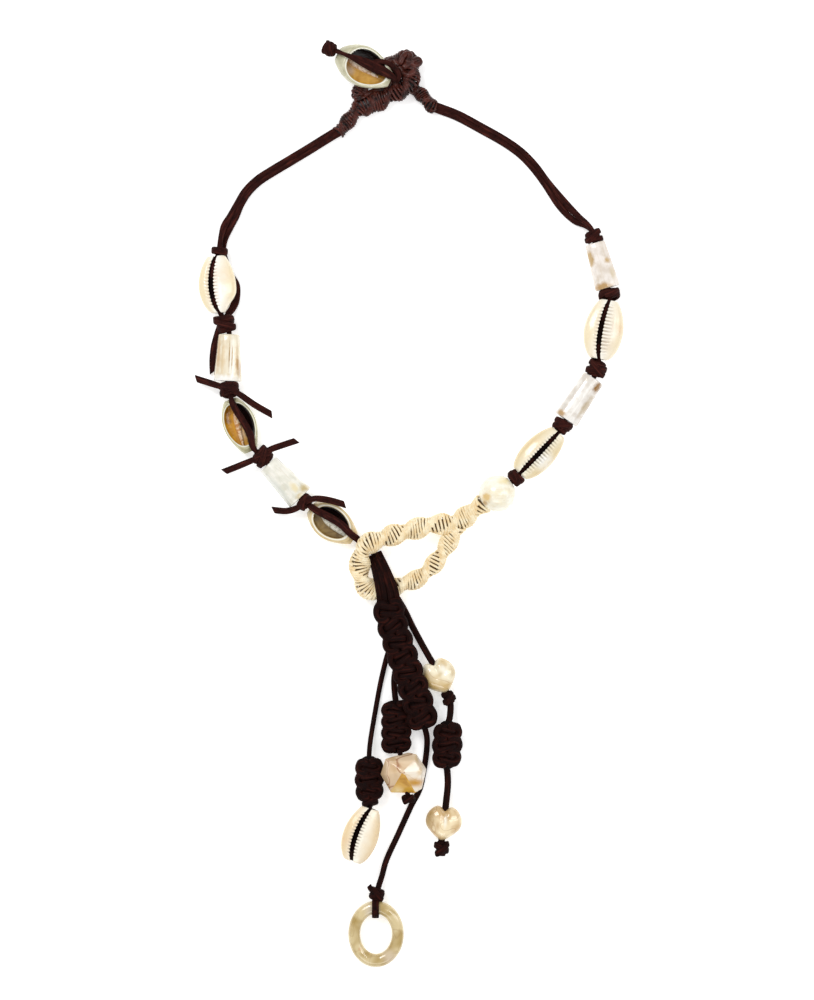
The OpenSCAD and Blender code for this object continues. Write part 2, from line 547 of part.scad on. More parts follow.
toggle_knot();
toggle_shell();
toggle_cord();
clasp_loop();
clasp_sleeve();
lace_left();
lace_left_second();
knot_l1();
cowrie_l1();
knot_l2();
tube_l1();
knot_l3();
cowrie_l2();
knot_l4();
tube_l2();
knot_l5();
cowrie_l3();
lace_right();
lace_right_second();
knot_r1();
tube_r1();
knot_r2();
cowrie_r1();
knot_r3();
tube_r2();
knot_r4();
cowrie_r2();
knot_r5();
round_bead();
cream_loop();
tassel_head();
braid_long();
strand_ring();
knot_ring();
ring();
strand_left();
barrel_left();
knot_left();
cowrie_tassel();
strand_short();
braid_short();
bead_thread();
faceted_bead();
knot_bead();
strand_right();
heart_upper();
knot_heart();
barrel_right();
heart_lower();
knot_end();
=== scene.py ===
"""Shell tassel necklace lying flat, dressed around its CAD frame. Metres, +Z up, table at z = 0."""
import bisect
import math
import random

import bmesh
import bpy
from mathutils import Matrix, Vector


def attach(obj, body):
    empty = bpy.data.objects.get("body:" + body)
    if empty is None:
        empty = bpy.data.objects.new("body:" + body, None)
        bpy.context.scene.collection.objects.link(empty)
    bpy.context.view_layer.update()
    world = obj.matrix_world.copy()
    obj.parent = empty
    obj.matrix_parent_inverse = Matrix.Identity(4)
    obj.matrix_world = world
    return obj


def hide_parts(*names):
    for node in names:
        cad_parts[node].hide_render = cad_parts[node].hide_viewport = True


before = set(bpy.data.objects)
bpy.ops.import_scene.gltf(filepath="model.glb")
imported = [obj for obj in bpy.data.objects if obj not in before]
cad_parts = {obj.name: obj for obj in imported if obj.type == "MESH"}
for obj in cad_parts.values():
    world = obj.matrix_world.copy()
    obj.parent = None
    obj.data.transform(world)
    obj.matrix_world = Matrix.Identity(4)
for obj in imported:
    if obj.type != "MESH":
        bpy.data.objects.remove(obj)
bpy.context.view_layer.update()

# Places below are in millimetres, as part.scad writes them before it shifts them by this much
MID = Vector((-0.73, 0.28, 0))
MM = 0.001
TAU = 2 * math.pi
UP = Vector((0, 0, 1))


# Curves
def curve(points, n=8):
    """Smooth curve through the points, n steps from one to the next."""
    last = len(points) - 1
    out = []
    for i in range(last):
        around = (points[max(i - 1, 0)], points[i], points[i + 1], points[min(i + 2, last)])
        for t in (j / n for j in range(n)):
            out.append(tuple(0.5 * (2 * q + (r - p) * t + (2 * p - 5 * q + 4 * r - s) * t * t
                                    + (3 * q - p - 3 * r + s) * t ** 3) for p, q, r, s in zip(*around)))
    return out + [tuple(points[last])]


def runs_of(points):
    """Length along a line at each of its points."""
    runs = [0.0]
    for a, b in zip(points, points[1:]):
        runs.append(runs[-1] + (Vector(b[:3]) - Vector(a[:3])).length)
    return runs


def at_length(runs, s):
    """Span of a line that holds length s, and how far along that span it is, from 0 to 1."""
    i = min(max(bisect.bisect_right(runs, s) - 1, 0), len(runs) - 2)
    return i, (s - runs[i]) / max(runs[i + 1] - runs[i], 1e-9)


def spaced(points, step):
    """The same line with its points an equal step apart. Columns after x, y, z go along with them."""
    runs = runs_of(points)
    count = max(2, round(runs[-1] / step))
    out = []
    for i in range(count + 1):
        k, f = at_length(runs, runs[-1] * i / count)
        out.append(tuple(p + (q - p) * f for p, q in zip(points[k], points[k + 1])))
    return out


def frames(path, level=True):
    """For each point of a path: place, ahead, beside and above. Level frames stay parallel to the table."""
    places = [Vector(p[:3]) for p in path]
    last = len(places) - 1
    out, before = [], None
    for i, place in enumerate(places):
        t = (places[min(i + 1, last)] - places[max(i - 1, 0)]).normalized()
        s = t.cross(UP)
        if before is not None and (not level or s.length < 0.3):
            s = before - t * before.dot(t)
        elif s.length < 0.05:
            s = Vector((1, 0, 0)) - t * t.x
        s.normalize()
        out.append((place, t, s, s.cross(t)))
        before = s
    return out


def value(x, u):
    """x itself, or what it gives at u, where u runs from 0 to 1."""
    return x(u) if callable(x) else x


def ease(a, b, x):
    """0 below a, 1 above b, smooth between."""
    t = min(max((x - a) / (b - a), 0.0), 1.0)
    return t * t * (3 - 2 * t)


def bump_at(x, c, w):
    """A soft hill of height 1 at c, nearly 0 at w from it."""
    return math.exp(-((x - c) / (0.5 * w)) ** 2)


# Meshes. Tints that looks read: the core of a cord piece, dark with painted shade, and on a shell painted
# shade in the grooves between its teeth, the outer and the inner part of a cut rim, and the inner face,
# partly painted shade
CORE_SHADE = 1.0
GROOVE_SHADE, RIM_OUT, RIM_IN, INNER = 0.45, 0.25, 0.7, 1.0


def new_object(name, data):
    """Object that shows the data in the scene."""
    obj = bpy.data.objects.new(name, data)
    bpy.context.scene.collection.objects.link(obj)
    return obj


class Piece:
    """One visible piece: points in millimetres, faces, and for each point a tint and a local place."""

    def __init__(self):
        self.points, self.faces, self.tints, self.locals, self.slots = [], [], [], [], []

    def add(self, points, faces, tints=None, local=None, slot=0):
        """Adds a part. tints run from 0 to 1; local places are in millimetres."""
        base = len(self.points)
        self.points += [Vector(p) for p in points]
        self.faces += [tuple(base + k for k in f) for f in faces]
        self.tints += tints or [0.0] * len(points)
        self.locals += [tuple(q) for q in local or points]
        self.slots += [slot] * len(faces)
        return self

    def build(self, node, kind, slot, *looks, sharp=50):
        """Makes the object, which stands for the CAD node. Edges bent more than sharp degrees stay sharp."""
        name = node + "_" + kind
        mesh = bpy.data.meshes.new(name)
        mesh.from_pydata([(p - MID) * MM for p in self.points], [], self.faces)
        mesh.attributes.new("tint", "FLOAT", "POINT").data.foreach_set("value", self.tints)
        flat = [c for q in self.locals for c in q]
        mesh.attributes.new("place", "FLOAT_VECTOR", "POINT").data.foreach_set("vector", flat)
        for look in looks:
            mesh.materials.append(look)
        mesh.polygons.foreach_set("material_index", self.slots)
        mesh.polygons.foreach_set("use_smooth", [True] * len(mesh.polygons))
        mesh.validate()
        solid = bmesh.new()
        solid.from_mesh(mesh)
        bmesh.ops.recalc_face_normals(solid, faces=solid.faces)
        solid.to_mesh(mesh)
        solid.free()
        mesh.set_sharp_from_angle(angle=math.radians(sharp))
        obj = new_object(name, mesh)
        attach(obj, "root")
        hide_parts(node)


def grid(rows, n, shut=False):
    """Faces between rows of n points each, every row a ring. Where shut, the last row joins the first."""
    return [(i * n + j, (i + 1) % rows * n + j, (i + 1) % rows * n + (j + 1) % n, i * n + (j + 1) % n)
            for i in range(rows if shut else rows - 1) for j in range(n)]


def caps(rows, n):
    """Faces over the first and the last row."""
    return [tuple(range(n)), tuple(range(rows * n - 1, (rows - 1) * n - 1, -1))]


def circle(n, first=0.0):
    """n directions round a circle, the first of them that part of a step on."""
    return [(math.cos(TAU * (j + first) / n), math.sin(TAU * (j + first) / n)) for j in range(n)]


def soft(v, e):
    return math.copysign(abs(v) ** e, v)


def flat_section(n=4, e=0.45):
    """Section of a flat lace: a box with soft corners, n steps a quarter."""
    return [(soft(c, e), soft(s, e)) for c, s in circle(4 * n, 0.5)]


# Ends of a swept body: how far each added ring stands out and how small it is, in half heights
ROUND_END = [(1.0, 0.12), (0.88, 0.5), (0.55, 0.84)]
CUT_END = [(0.12, 0.72), (0.1, 0.93)]


def end_rows(row, ends, way):
    p, t, side, top, w, h = row
    return [(p + t * way * min(w, h) * g, t, side, top, w * k, h * k) for g, k in ends]


def skin(piece, rows, section, ends, tint, slot, run, shut, slant=0.0):
    """Surface over rows of place, ahead, side, top, half width and half height."""
    m, n = len(rows), len(section)
    extra = 0 if shut else len(ends)
    if not shut:
        rows = end_rows(rows[0], ends, -1) + rows + end_rows(rows[-1], ends[::-1], 1)
    points, local, tints, at = [], [], [], run
    for i, (p, t, side, top, w, h) in enumerate(rows):
        if i:
            at += (p - rows[i - 1][0]).length
        f = min(max((i - extra) / (m - 1), 0.0), 1.0)
        shade = value(tint, f)
        cut = slant * max(0.0, (f - 0.9) / 0.1)
        for x, y in section:
            points.append(p + side * x * w + top * y * h + t * x * w * cut)
            local.append((at, x * w, y * h))
            tints.append(shade)
    faces = grid(len(rows), n, shut) + ([] if shut else caps(len(rows), n))
    piece.add(points, faces, tints, local, slot)


def sweep(piece, path, section, width, height, twist=0.0, level=True, ends=ROUND_END, tint=0.0, slot=0,
          run=0.0, slant=0.0):
    """Sweeps a unit section along a path. width, height, twist (radians) and tint may be functions."""
    fr = frames(path, level)
    rows = []
    for i, (p, t, s, u) in enumerate(fr):
        f = i / (len(fr) - 1)
        a = value(twist, f)
        rows.append((p, t, s * math.cos(a) + u * math.sin(a), u * math.cos(a) - s * math.sin(a),
                     value(width, f) / 2, value(height, f) / 2))
    skin(piece, rows, section, ends, tint, slot, run, False, slant)


def band(piece, line, width, height, section, tint, run, shut=False):
    """Sweeps a unit section along a line of points, each with the outward direction that its height takes."""
    m = len(line)
    rows = []
    for i, (p, out) in enumerate(line):
        a, b = (i - 1, (i + 1) % m) if shut else (max(i - 1, 0), min(i + 1, m - 1))
        t = (line[b][0] - line[a][0]).normalized()
        side = t.cross(out).normalized()
        rows.append((p, t, side, side.cross(t), width / 2, height / 2))
    skin(piece, rows, section, ROUND_END, tint, 0, run, shut)


def frame_on(a, b):
    """Matrix with +Z from a to b and its origin half way, as along() in part.scad."""
    a, b = Vector(a), Vector(b)
    v = b - a
    tilt = math.pi / 2 - math.atan2(v.z, math.hypot(v.x, v.y))
    turn = math.atan2(v.y, v.x)
    return Matrix.Translation((a + b) / 2) @ Matrix.Rotation(turn, 4, "Z") @ Matrix.Rotation(tilt, 4, "Y")


def half_length(a, b):
    """Half the distance from a to b."""
    return (Vector(b) - Vector(a)).length / 2


# Materials
class Look:
    """A node material, with short calls for the nodes that looks share. Lengths are in millimetres."""

    def __init__(self, name, **fixed):
        self.mat = bpy.data.materials.new(name)
        self.mat.use_nodes = True
        self.tree = self.mat.node_tree
        self.shader = self.tree.nodes["Principled BSDF"]
        for key, setting in fixed.items():
            self.shader.inputs[key.replace("_", " ")].default_value = setting
        self.last_normal = None
        here = self.node("ShaderNodeTexCoord")["Object"]
        self.space = self.node("ShaderNodeVectorMath", {0: here, "Scale": 1000}, operation="SCALE")[0]

    def put(self, socket, x):
        """x is a number, a colour or another node's output."""
        if isinstance(x, bpy.types.NodeSocket):
            self.tree.links.new(x, socket)
        elif isinstance(x, tuple):
            socket.default_value = x + (1,) * (len(socket.default_value) - len(x))
        else:
            socket.default_value = x

    def node(self, kind, inputs=None, **settings):
        """Outputs of a new node, with what its inputs take."""
        n = self.tree.nodes.new(kind)
        for key, setting in settings.items():
            setattr(n, key, setting)
        for key, x in (inputs or {}).items():
            self.put(n.inputs[key], x)
        return n.outputs

    def attribute(self, name="tint", out="Fac"):
        return self.node("ShaderNodeAttribute", attribute_name=name)[out]

    def local(self):
        """The points' local places."""
        return self.attribute("place", "Vector")

    def stretch(self, by, source):
        return self.node("ShaderNodeVectorMath", {0: source, 1: by}, operation="MULTIPLY")[0]

    def noise(self, size, detail=3.0, rough=0.55, source=None, distort=0.0):
        """Cloudy noise whose features are size across."""
        return self.node("ShaderNodeTexNoise", {"Vector": source or self.space, "Scale": 1 / size,
                                                "Detail": detail, "Roughness": rough,
                                                "Distortion": distort})["Fac"]

    def fibres(self, size, along, rough=0.6, distort=0.0):
        """Noise that is drawn out along the piece."""
        return self.noise(size, 3.0, rough, self.stretch((along, 1.0, 1.0), self.local()), distort)

    def ramp(self, x, *stops):
        """Colours or greys at places from 0 to 1."""
        r = self.tree.nodes.new("ShaderNodeValToRGB")
        line = r.color_ramp
        while len(line.elements) < len(stops):
            line.elements.new(0.5)
        for e, (at, c) in zip(line.elements, stops):
            e.position = at
            e.color = (*c, 1) if isinstance(c, tuple) else (c, c, c, 1)
        self.put(r.inputs[0], x)
        return r.outputs[0]

    def mix(self, x, a, b):
        return self.node("ShaderNodeMix", {0: x, 6: a, 7: b}, data_type="RGBA", clamp_result=True)[2]

    def over(self, color, tone, x, *stops):
        """A tone laid over a colour, as much as the ramp of x says."""
        return self.mix(self.ramp(x, *stops), color, tone)

    def calc(self, operation, a, b=0.0, c=0.0):
        return self.node("ShaderNodeMath", {0: a, 1: b, 2: c}, operation=operation)[0]

    def split(self, source):
        """x, y and z of a vector."""
        return self.node("ShaderNodeSeparateXYZ", {0: source})

    def spot(self, centre, radius, by=(1, 1, 1)):
        """1 at a local place, falling softly to 0 at radius."""
        away = self.node("ShaderNodeVectorMath", {0: self.local(), 1: centre}, operation="SUBTRACT")[0]
        far = self.node("ShaderNodeVectorMath", {0: self.stretch(by, away)}, operation="LENGTH")["Value"]
        return self.node("ShaderNodeMapRange", {0: far, 1: 0.0, 2: radius, 3: 1.0, 4: 0.0},
                         interpolation_type="SMOOTHSTEP")[0]

    def stain(self, color, spots):
        """Lays soft spots over a colour. Each has its place, radius, stretch, tone and amount."""
        for place, radius, by, tone, amount in spots:
            color = self.mix(self.calc("MULTIPLY", self.spot(place, radius, by), amount), color, tone)
        return color

    def bump(self, height, strength, distance):
        inputs = {"Strength": strength, "Distance": distance * MM, "Height": height}
        if self.last_normal:
            inputs["Normal"] = self.last_normal
        self.last_normal = self.node("ShaderNodeBump", inputs)[0]

    def done(self, color, roughness):
        self.put(self.shader.inputs["Base Color"], color)
        self.put(self.shader.inputs["Roughness"], roughness)
        if self.last_normal:
            self.put(self.shader.inputs["Normal"], self.last_normal)
        return self.mat


def rgb(r, g, b):
    """Linear colour from the usual 0 to 255 values."""
    return tuple(x / 3294.6 if x <= 10 else ((x / 255 + 0.055) / 1.055) ** 2.4 for x in (r, g, b))


def mid_tone(a, b):
    return tuple((x + y) / 2 for x, y in zip(a, b))


def suede_look(name, deep, light, worn):
    """Brown suede lace: cloudy nap, fine fibres along it and worn, lighter streaks."""
    k = Look(name, Sheen_Weight=0.02, Sheen_Roughness=0.4, Specular_IOR_Level=0.07)
    k.shader.inputs["Sheen Tint"].default_value = (*rgb(170, 90, 75), 1)
    nap = k.noise(1.6, 4.0, 0.6)
    fibre = k.fibres(0.22, 0.3)
    color = k.ramp(nap, (0.3, deep), (0.62, light))
    color = k.over(color, worn, k.fibres(0.8, 0.12), (0.5, 0.0), (0.72, 0.75))
    color = k.over(color, worn, fibre, (0.5, 0.0), (0.8, 0.4))
    # Painted shade, nearly black, where the tint is high: on a lace deep in a shell's slit and on a braid's
    # core.
    color = k.over(color, rgb(12, 4, 4), k.attribute(), (0.92, 0.0), (1.0, 0.9))
    k.bump(fibre, 0.5, 0.09)
    k.bump(k.noise(0.6, 3.0, 0.6), 0.4, 0.14)
    return k.done(color, k.ramp(nap, (0.3, 0.62), (0.7, 0.82)))


# Width of a yarn in the cords, and the wave texture's scale for waves of 1 mm
YARN_WIDE, WAVE_SCALE = 0.36, 0.314


def cord_look(name, deep, light, shine, rough, gap_shade):
    """Twisted cord: fine oblique yarns along it with painted shade in the creases between them, colour that
    drifts from turn to turn, and a dark core that is painted shade between the turns.
    """
    k = Look(name, Specular_IOR_Level=shine)
    around = k.stretch((1.0, 0.9, 0.9), k.local())
    yarn = k.node("ShaderNodeTexWave", {"Vector": around, "Scale": WAVE_SCALE / YARN_WIDE, "Distortion": 0.7,
                                        "Detail": 1.0}, bands_direction="DIAGONAL")["Fac"]
    drift = k.noise(2.6, 3.0, 0.55)
    fine = k.noise(0.25, 2.0, 0.6)
    color = k.ramp(drift, (0.32, deep), (0.6, light))
    # Painted shade in the creases between the yarns.
    color = k.over(color, deep, yarn, (0.1, 0.35), (0.5, 0.0))
    # Painted shade: the core inside the turns takes the dark gap colour.
    color = k.over(color, gap_shade, k.attribute(), (0.92, 0.0), (1.0, 1.0))
    k.bump(yarn, 0.35, 0.08)
    k.bump(fine, 0.3, 0.06)
    return k.done(color, k.ramp(fine, (0.3, rough - 0.08), (0.7, rough + 0.08)))


# Routes, repeated from part.scad: x, y, height and, where it changes, a part of the width
LEFT_NECK = [
    (-27.1, 142.9, 2.2), (-31, 140.8, 1.2), (-38.3, 136.3, 0.9), (-45.6, 131.9, 0.9), (-52.8, 127.6, 0.9),
    (-58.3, 124, 0.9), (-62.7, 119.6, 0.9), (-65.6, 114.8, 0.9),
]
LEFT_ON = [
    (-68.9, 110.6, 1.2, 1.15), (-71.2, 106.6, 2.2, 1.2), (-72.3, 102.1, 4.2), (-72.7, 98.3, 5.45),
    (-73.2, 95.4, 5.6), (-74.8, 91.6, 6.5), (-75.7, 87.9, 6.9), (-75.7, 83.9, 6.9), (-75.2, 80, 6.9),
    (-74.1, 76.5, 6.4), (-72.4, 73.3, 5.7), (-70.9, 70.4, 5.35), (-69.4, 66.8, 4.9), (-69.1, 64.4, 4.7),
    (-69.7, 47.8, 4.7), (-69.2, 45.8, 4.8), (-68.5, 42.4, 5.8), (-68.2, 40.6, 6.3, 1.1),
    (-67.8, 39.2, 6.5, 1.3), (-66.6, 36.6, 6.2, 1.4), (-63.4, 31.6, 5.0, 1.45), (-60.9, 26.6, 6.0, 1.45),
    (-60.3, 23.2, 6.5, 1.3), (-59.6, 21.7, 6.3, 1.1), (-58.6, 20.6, 6.0), (-56.8, 18.8, 5.2),
    (-53.9, 15.6, 4.7), (-42.2, 3.2, 4.7), (-40.6, 1.8, 5.3), (-39, 0.6, 6.2, 1.1),
    (-37.8, -0.35, 6.6, 1.3), (-36, -1.6, 6.3, 1.4), (-31, -4.3, 5.1, 1.5), (-26.6, -7, 5.4, 1.5),
    (-23.9, -9.6, 6.5, 1.45), (-22.4, -11, 6.6, 1.4), (-20.75, -12.2, 5.8, 1.4), (-19.8, -13.1, 3.3, 1.3),
    (-17.6, -14.8, 1.5, 1.2), (-15.6, -16.6, 1.0, 1.2), (-14.0, -18.15, 1.1, 1.2),
]
SECOND_ON = [
    (-66.6, 110.2, 0.9, 1.15), (-69, 105.9, 0.9, 1.25), (-70.8, 101.8, 0.9, 1.1), (-71.4, 98, 0.9),
    (-70.8, 94.6, 0.9), (-69.5, 91.2, 0.9), (-68.3, 88, 0.9), (-66.4, 84, 0.9, 1.3),
    (-66.8, 78.6, 0.9, 1.6), (-68.0, 75.4, 1.4, 1.5), (-69.3, 73.4, 2.5, 1.3), (-70.2, 71.8, 3.2, 1.2),
]
RIGHT_NECK = [
    (8.55, 152.1, 2.1), (12, 151, 1.3), (18.2, 148.6, 0.9), (26.4, 144.2, 0.9), (35.6, 139, 0.9),
    (42, 134.4, 0.9), (47, 129.2, 0.9), (51.6, 123, 0.9),
]
RIGHT_ON = [
    (58.7, 115.7, 0.9, 1.32), (63.8, 110.2, 2.2, 1.15), (67, 107.2, 4.3), (68.9, 104.3, 5.4),
    (69.9, 101.2, 5.45), (70.3, 98.6, 4.7), (74.5, 83.6, 4.7), (75, 81.8, 4.9), (75.3, 78.4, 5.6),
    (73.8, 74.1, 6.5), (71.9, 67.1, 6.9), (71.2, 60.2, 6.5), (71.2, 55.4, 5.7), (70.4, 52.2, 5.1),
    (69.3, 48.6, 4.7), (58.9, 32.9, 4.7), (57.4, 30.2, 5.0), (55.9, 27.8, 5.6), (53.2, 25, 6.5),
    (48.6, 20.1, 7.0), (44, 15.3, 6.5), (41, 12, 5.8), (39.4, 10.4, 6.2), (37, 8, 6.8), (32.7, 4.75, 7.0),
    (28.6, 1.7, 7.0),
]
RIGHT_SECOND_ON = [
    (56.6, 114.2, 0.9, 1.3), (62, 108.8, 1.2, 1.2), (66.6, 106.5, 2.3), (68.7, 104.5, 3.66),
    (69.6, 101.2, 3.66),
]
TOGGLE_PATH = [
    (-29.2, 172.4, 10.3), (-27.8, 171.8, 11.6), (-25.6, 170.7, 13.2, 0.75), (-22.6, 169.5, 13.2, 1.05),
    (-19, 168.1, 12.3, 1.7), (-14, 165.9, 11.4, 2.1), (-9.9, 164, 11.2, 1.8), (-7.8, 162.7, 10.9, 1.4),
    (-6.6, 161.9, 10.0), (-5.8, 161.7, 8.0), (-5.4, 161.9, 5.0), (-4.7, 161.9, 2.4), (-3, 161.6, 1.1),
    (-1.2, 160.6, 0.9), (-0.2, 159.9, 0.9), (1, 159.1, 1.2),
]
TOGGLE_SECOND = [
    (-14.6, 167.2, 10.4), (-12.6, 168, 11.0), (-10, 167.9, 10.8), (-7.4, 166.9, 9.8), (-5.4, 164.8, 9.2),
    (-4.6, 162.8, 8.8), (-5.2, 161.2, 7.6),
]
CLASP_RING = [
    (-19.4, 151.6, 2.7), (-14.6, 153.4, 2.7), (-9.5, 155.8, 3.0), (-4.4, 157.6, 4.2), (-0.6, 160.4, 5.2),
    (0.1, 164.4, 4.6), (0.1, 168.2, 3.6), (-2, 170.2, 3.0), (-5.4, 169.4, 2.7), (-9.4, 167.4, 2.6),
    (-13.6, 165, 2.6), (-17.2, 161.6, 2.6), (-19.8, 156.8, 2.6),
]
# Further turns of the clasp's cord, which close its loop
CLASP_EARS = (
    [(0.4, 165.8, 5.8), (2.2, 167.4, 5.8), (3.4, 168.6, 4.8), (2.6, 169.8, 4.6), (0.6, 169, 5.6)],
    [(-4, 168.2, 5.6), (-3, 170.6, 5.2), (-1.4, 172.0, 4.4), (-0.2, 171, 4.8), (-1.2, 168.8, 5.8)],
    [(-9.6, 166.4, 4.8), (-8.6, 168.8, 5.0), (-6.8, 169.6, 4.8), (-5.4, 167.6, 5.6)],
    [(-3.4, 164.8, 5.2), (-1.4, 163.2, 7.4), (1.0, 165, 7.0), (0.2, 167.4, 6.4), (-2.4, 166.6, 6.6)],
    [(-8.8, 166.6, 4.8), (-6.4, 165.4, 5.2), (-5.2, 163.2, 5.4), (-6, 160.8, 5.2), (-4.6, 158.4, 5.2)],
    [(-8.4, 164.6, 4.2), (-7.2, 162.4, 4.4), (-8.2, 159.8, 4.2), (-9.6, 157.6, 4.0)],
    [(-7.6, 168, 4.6), (-5.2, 167, 4.8), (-3.4, 165.6, 5.2), (-3.2, 163.4, 5.6)],
    [(-17.6, 156.2, 3.2), (-14.6, 157.6, 3.2), (-11.4, 158.6, 3.2), (-8.4, 158.4, 3.4)],
)
CLASP_NECK = [(-26.2, 143.9, 2.6), (-25, 145.2, 2.7), (-23, 147.6, 2.7), (-20.4, 150.4, 2.7)]
CLASP_SLEEVE = [(1.8, 158.3, 2.1), (3.5, 157, 2.5), (5.4, 155, 2.6), (7.3, 152.8, 2.6)]
# From the round bead along the upper leg, round the left end and back along the lower leg
CREAM_PATH = [
    (26.7, 0.3, 6.4), (24.2, -1.5, 5.4), (21, -4, 4.4), (17.8, -5.9, 3.9), (14.6, -6.7, 3.8),
    (11, -6.9, 3.8), (6, -7.4, 3.8), (0.5, -9.1, 3.8), (-5, -10.4, 4.2), (-10.6, -12.2, 5.6),
    (-15.4, -13.9, 6.7), (-18.3, -16.7, 6.5), (-19.3, -20.8, 5.0), (-19.3, -25.2, 4.0),
    (-17.9, -29.8, 3.8), (-13.8, -32.6, 3.8), (-9, -31.9, 3.8), (-3.4, -29.7, 3.8), (1.6, -28.1, 3.8),
    (6.4, -24.7, 3.8), (10.4, -20, 3.8), (14, -14.4, 3.8), (16.6, -10.4, 3.7),
]
HEAD_PATH = [
    (-13.8, -18.6, 1.5), (-12.9, -20.6, 3.0), (-12, -22.8, 5.5), (-10.8, -26.2, 8.0), (-9.6, -30, 8.9),
    (-8.8, -33.4, 8.7), (-8.5, -35.8, 8.2),
]
LONG_BRAID = [
    (-8.4, -36.6, 8.0), (-8.2, -41, 8.2), (-6, -48.3, 8.3), (-4, -54.6, 8.2), (-1.3, -62.8, 8.0),
    (1.7, -71.4, 7.0), (4.1, -80, 6.0), (4.7, -83.2, 5.8),
]
SHORT_BRAID = [(-5.6, -75.4, 3.2), (-5.6, -80, 3.2), (-5.6, -86, 3.2), (-5.6, -92.6, 3.6)]
RING_STRAND = [
    (5.2, -84.1, 5.4), (6.1, -88.5, 3.4), (5.8, -94.7, 1.3), (4.6, -102.2, 1.15), (3.2, -108.2, 1.15),
    (-0.1, -114.6, 1.15), (-4.6, -124.5, 1.15), (-9.2, -134.5, 1.3), (-11, -140.6, 2.6),
    (-12.4, -145, 4.0), (-13, -148, 4.2),
]
LEFT_STRAND = [
    (-5.4, -46.6, 4.6), (-7, -51, 3.6), (-8.9, -56.4, 2.0), (-10.6, -63, 1.15), (-12.2, -70.5, 1.15),
    (-14.6, -84, 1.5), (-15.7, -91.5, 3.6), (-15.9, -97.4, 5.1), (-15.7, -110, 5.1), (-15.4, -113.6, 5.4),
    (-17.3, -117.7, 6.5), (-20.5, -124.2, 6.9), (-22, -130.8, 6.6),
]
SHORT_STRAND = [
    (-4.3, -56.5, 4.5), (-5.5, -60.5, 3.0), (-6.4, -66, 1.8), (-6.2, -71, 2.0), (-5.7, -75, 2.8),
]
RIGHT_STRAND = [
    (-5.2, -35, 5.2), (-3.4, -38, 4.7), (-1.9, -40.8, 3.8), (0.6, -46, 2.2), (4, -52.4, 1.7),
    (6.5, -56.8, 2.9), (8.4, -60.1, 3.7), (10.6, -64.8, 3.7), (12.7, -69.2, 3.7), (13.7, -71.2, 3.7),
    (15, -75.1, 3.6), (14.8, -80, 4.5), (14, -84, 5.2), (13.5, -97.4, 5.2), (13.8, -101, 4.4),
    (14, -106, 3.7), (13.2, -114, 3.7), (12.3, -121, 3.7), (11.6, -127.6, 3.6), (11.4, -132.4, 3.5),
]
BEAD_THREAD = [
    (-4.3, -92.7, 7.5), (-3.6, -97, 7.6), (-2.8, -101.3, 7.6), (-1.9, -106, 7.6), (-1.3, -109.3, 7.35),
    (-0.9, -111.6, 7.0),
]
LACE_W, LACE_T, STRAND_D, TAIL_W, TAIL_T = 1.9, 1.5, 2.0, 2.5, 1.3
# Where a lace lies deep in a slit and gets painted shade: place and reach
SLIT_SHADE_SPOTS = (((-75.4, 82.6, 6.9), 7.5), ((71.7, 65.8, 6.8), 8.5), ((49.2, 20.8, 7.0), 7.5),
            ((-19.6, -122.6, 6.8), 9.0))


def beside_line(points, s):
    """A middle line moved sideways by s."""
    return [tuple(p + side * s) for p, t, side, u in frames(points)]


# Laces and strands. The neck's laces are NECK_WIDER times as wide where they lie on the table
NECK_WIDER, LACE_STEP = 1.06, 0.55


def lace(name, route, w, t, look, seed, section=flat_section(4), more=()):
    """Suede lace along a route, its width and lean drifting slightly, with painted shade where it lies deep
    in a shell's slit.

    more: routes of further turns of the same lace.
    """
    chance = random.Random(seed)
    waves = [(chance.uniform(0.03, 0.09), chance.uniform(0, TAU)) for k in range(3)]
    four = [(*p, 1.0) if len(p) == 3 else p for p in route]
    if "lace" in name:
        four = [(*p[:3], NECK_WIDER * p[3]) if p[2] < 2.3 and p[1] > 100 else p for p in four]
    path = spaced(curve(four, 10), LACE_STEP)
    total = runs_of(path)[-1]

    def drift(u):
        return sum(math.sin(u * total * q + f) for q, f in waves) / 3

    widths = [p[3] for p in path]
    m = len(path) - 1
    piece = Piece()
    sweep(piece, path, section, lambda u: w * widths[round(u * m)] * (1 + 0.05 * drift(u)),
          lambda u: t * (1 + 0.04 * drift(u + 0.5)), twist=lambda u: 0.07 * drift(u), ends=CUT_END)
    for turn in more:
        sweep(piece, spaced(curve(turn, 10), LACE_STEP), section, w, t, ends=CUT_END)
    # Painted shade: the tint rises to 1 where the lace lies deep in a shell's slit.
    for i, p in enumerate(piece.points):
        piece.tints[i] = max(ease(far, far * 0.5, (p - Vector(c)).length) for c, far in SLIT_SHADE_SPOTS)
    piece.build(name, "suede", "brown_lace", look)


# Corded pieces
class Rail:
    """Smooth path that gives its place and frame at any length along it."""

    def __init__(self, route, level=False):
        path = spaced(curve(route, 12), 0.5)
        self.frames = frames(path, level)
        self.runs = runs_of(path)
        self.length = self.runs[-1]

    def at(self, s):
        """Place, ahead, beside and above at length s, straight on past both ends."""
        within = min(max(s, 0.0), self.length)
        i, f = at_length(self.runs, within)
        p, t, side, up = (x.lerp(y, f) for x, y in zip(self.frames[i], self.frames[i + 1]))
        return p + t * (s - within), t.normalized(), side.normalized(), up.normalized()

    def put(self, s, x, y):
        """Point x to the side and y above the path at length s."""
        p, t, side, up = self.at(s)
        return p + side * x + up * y


OVAL, THIN, ROUND = circle(8, 0.5), circle(6, 0.5), circle(12, 0.5)
BAR, TURN, FOLD = flat_section(3, 0.75), flat_section(3, 0.62), flat_section(3, 0.55)


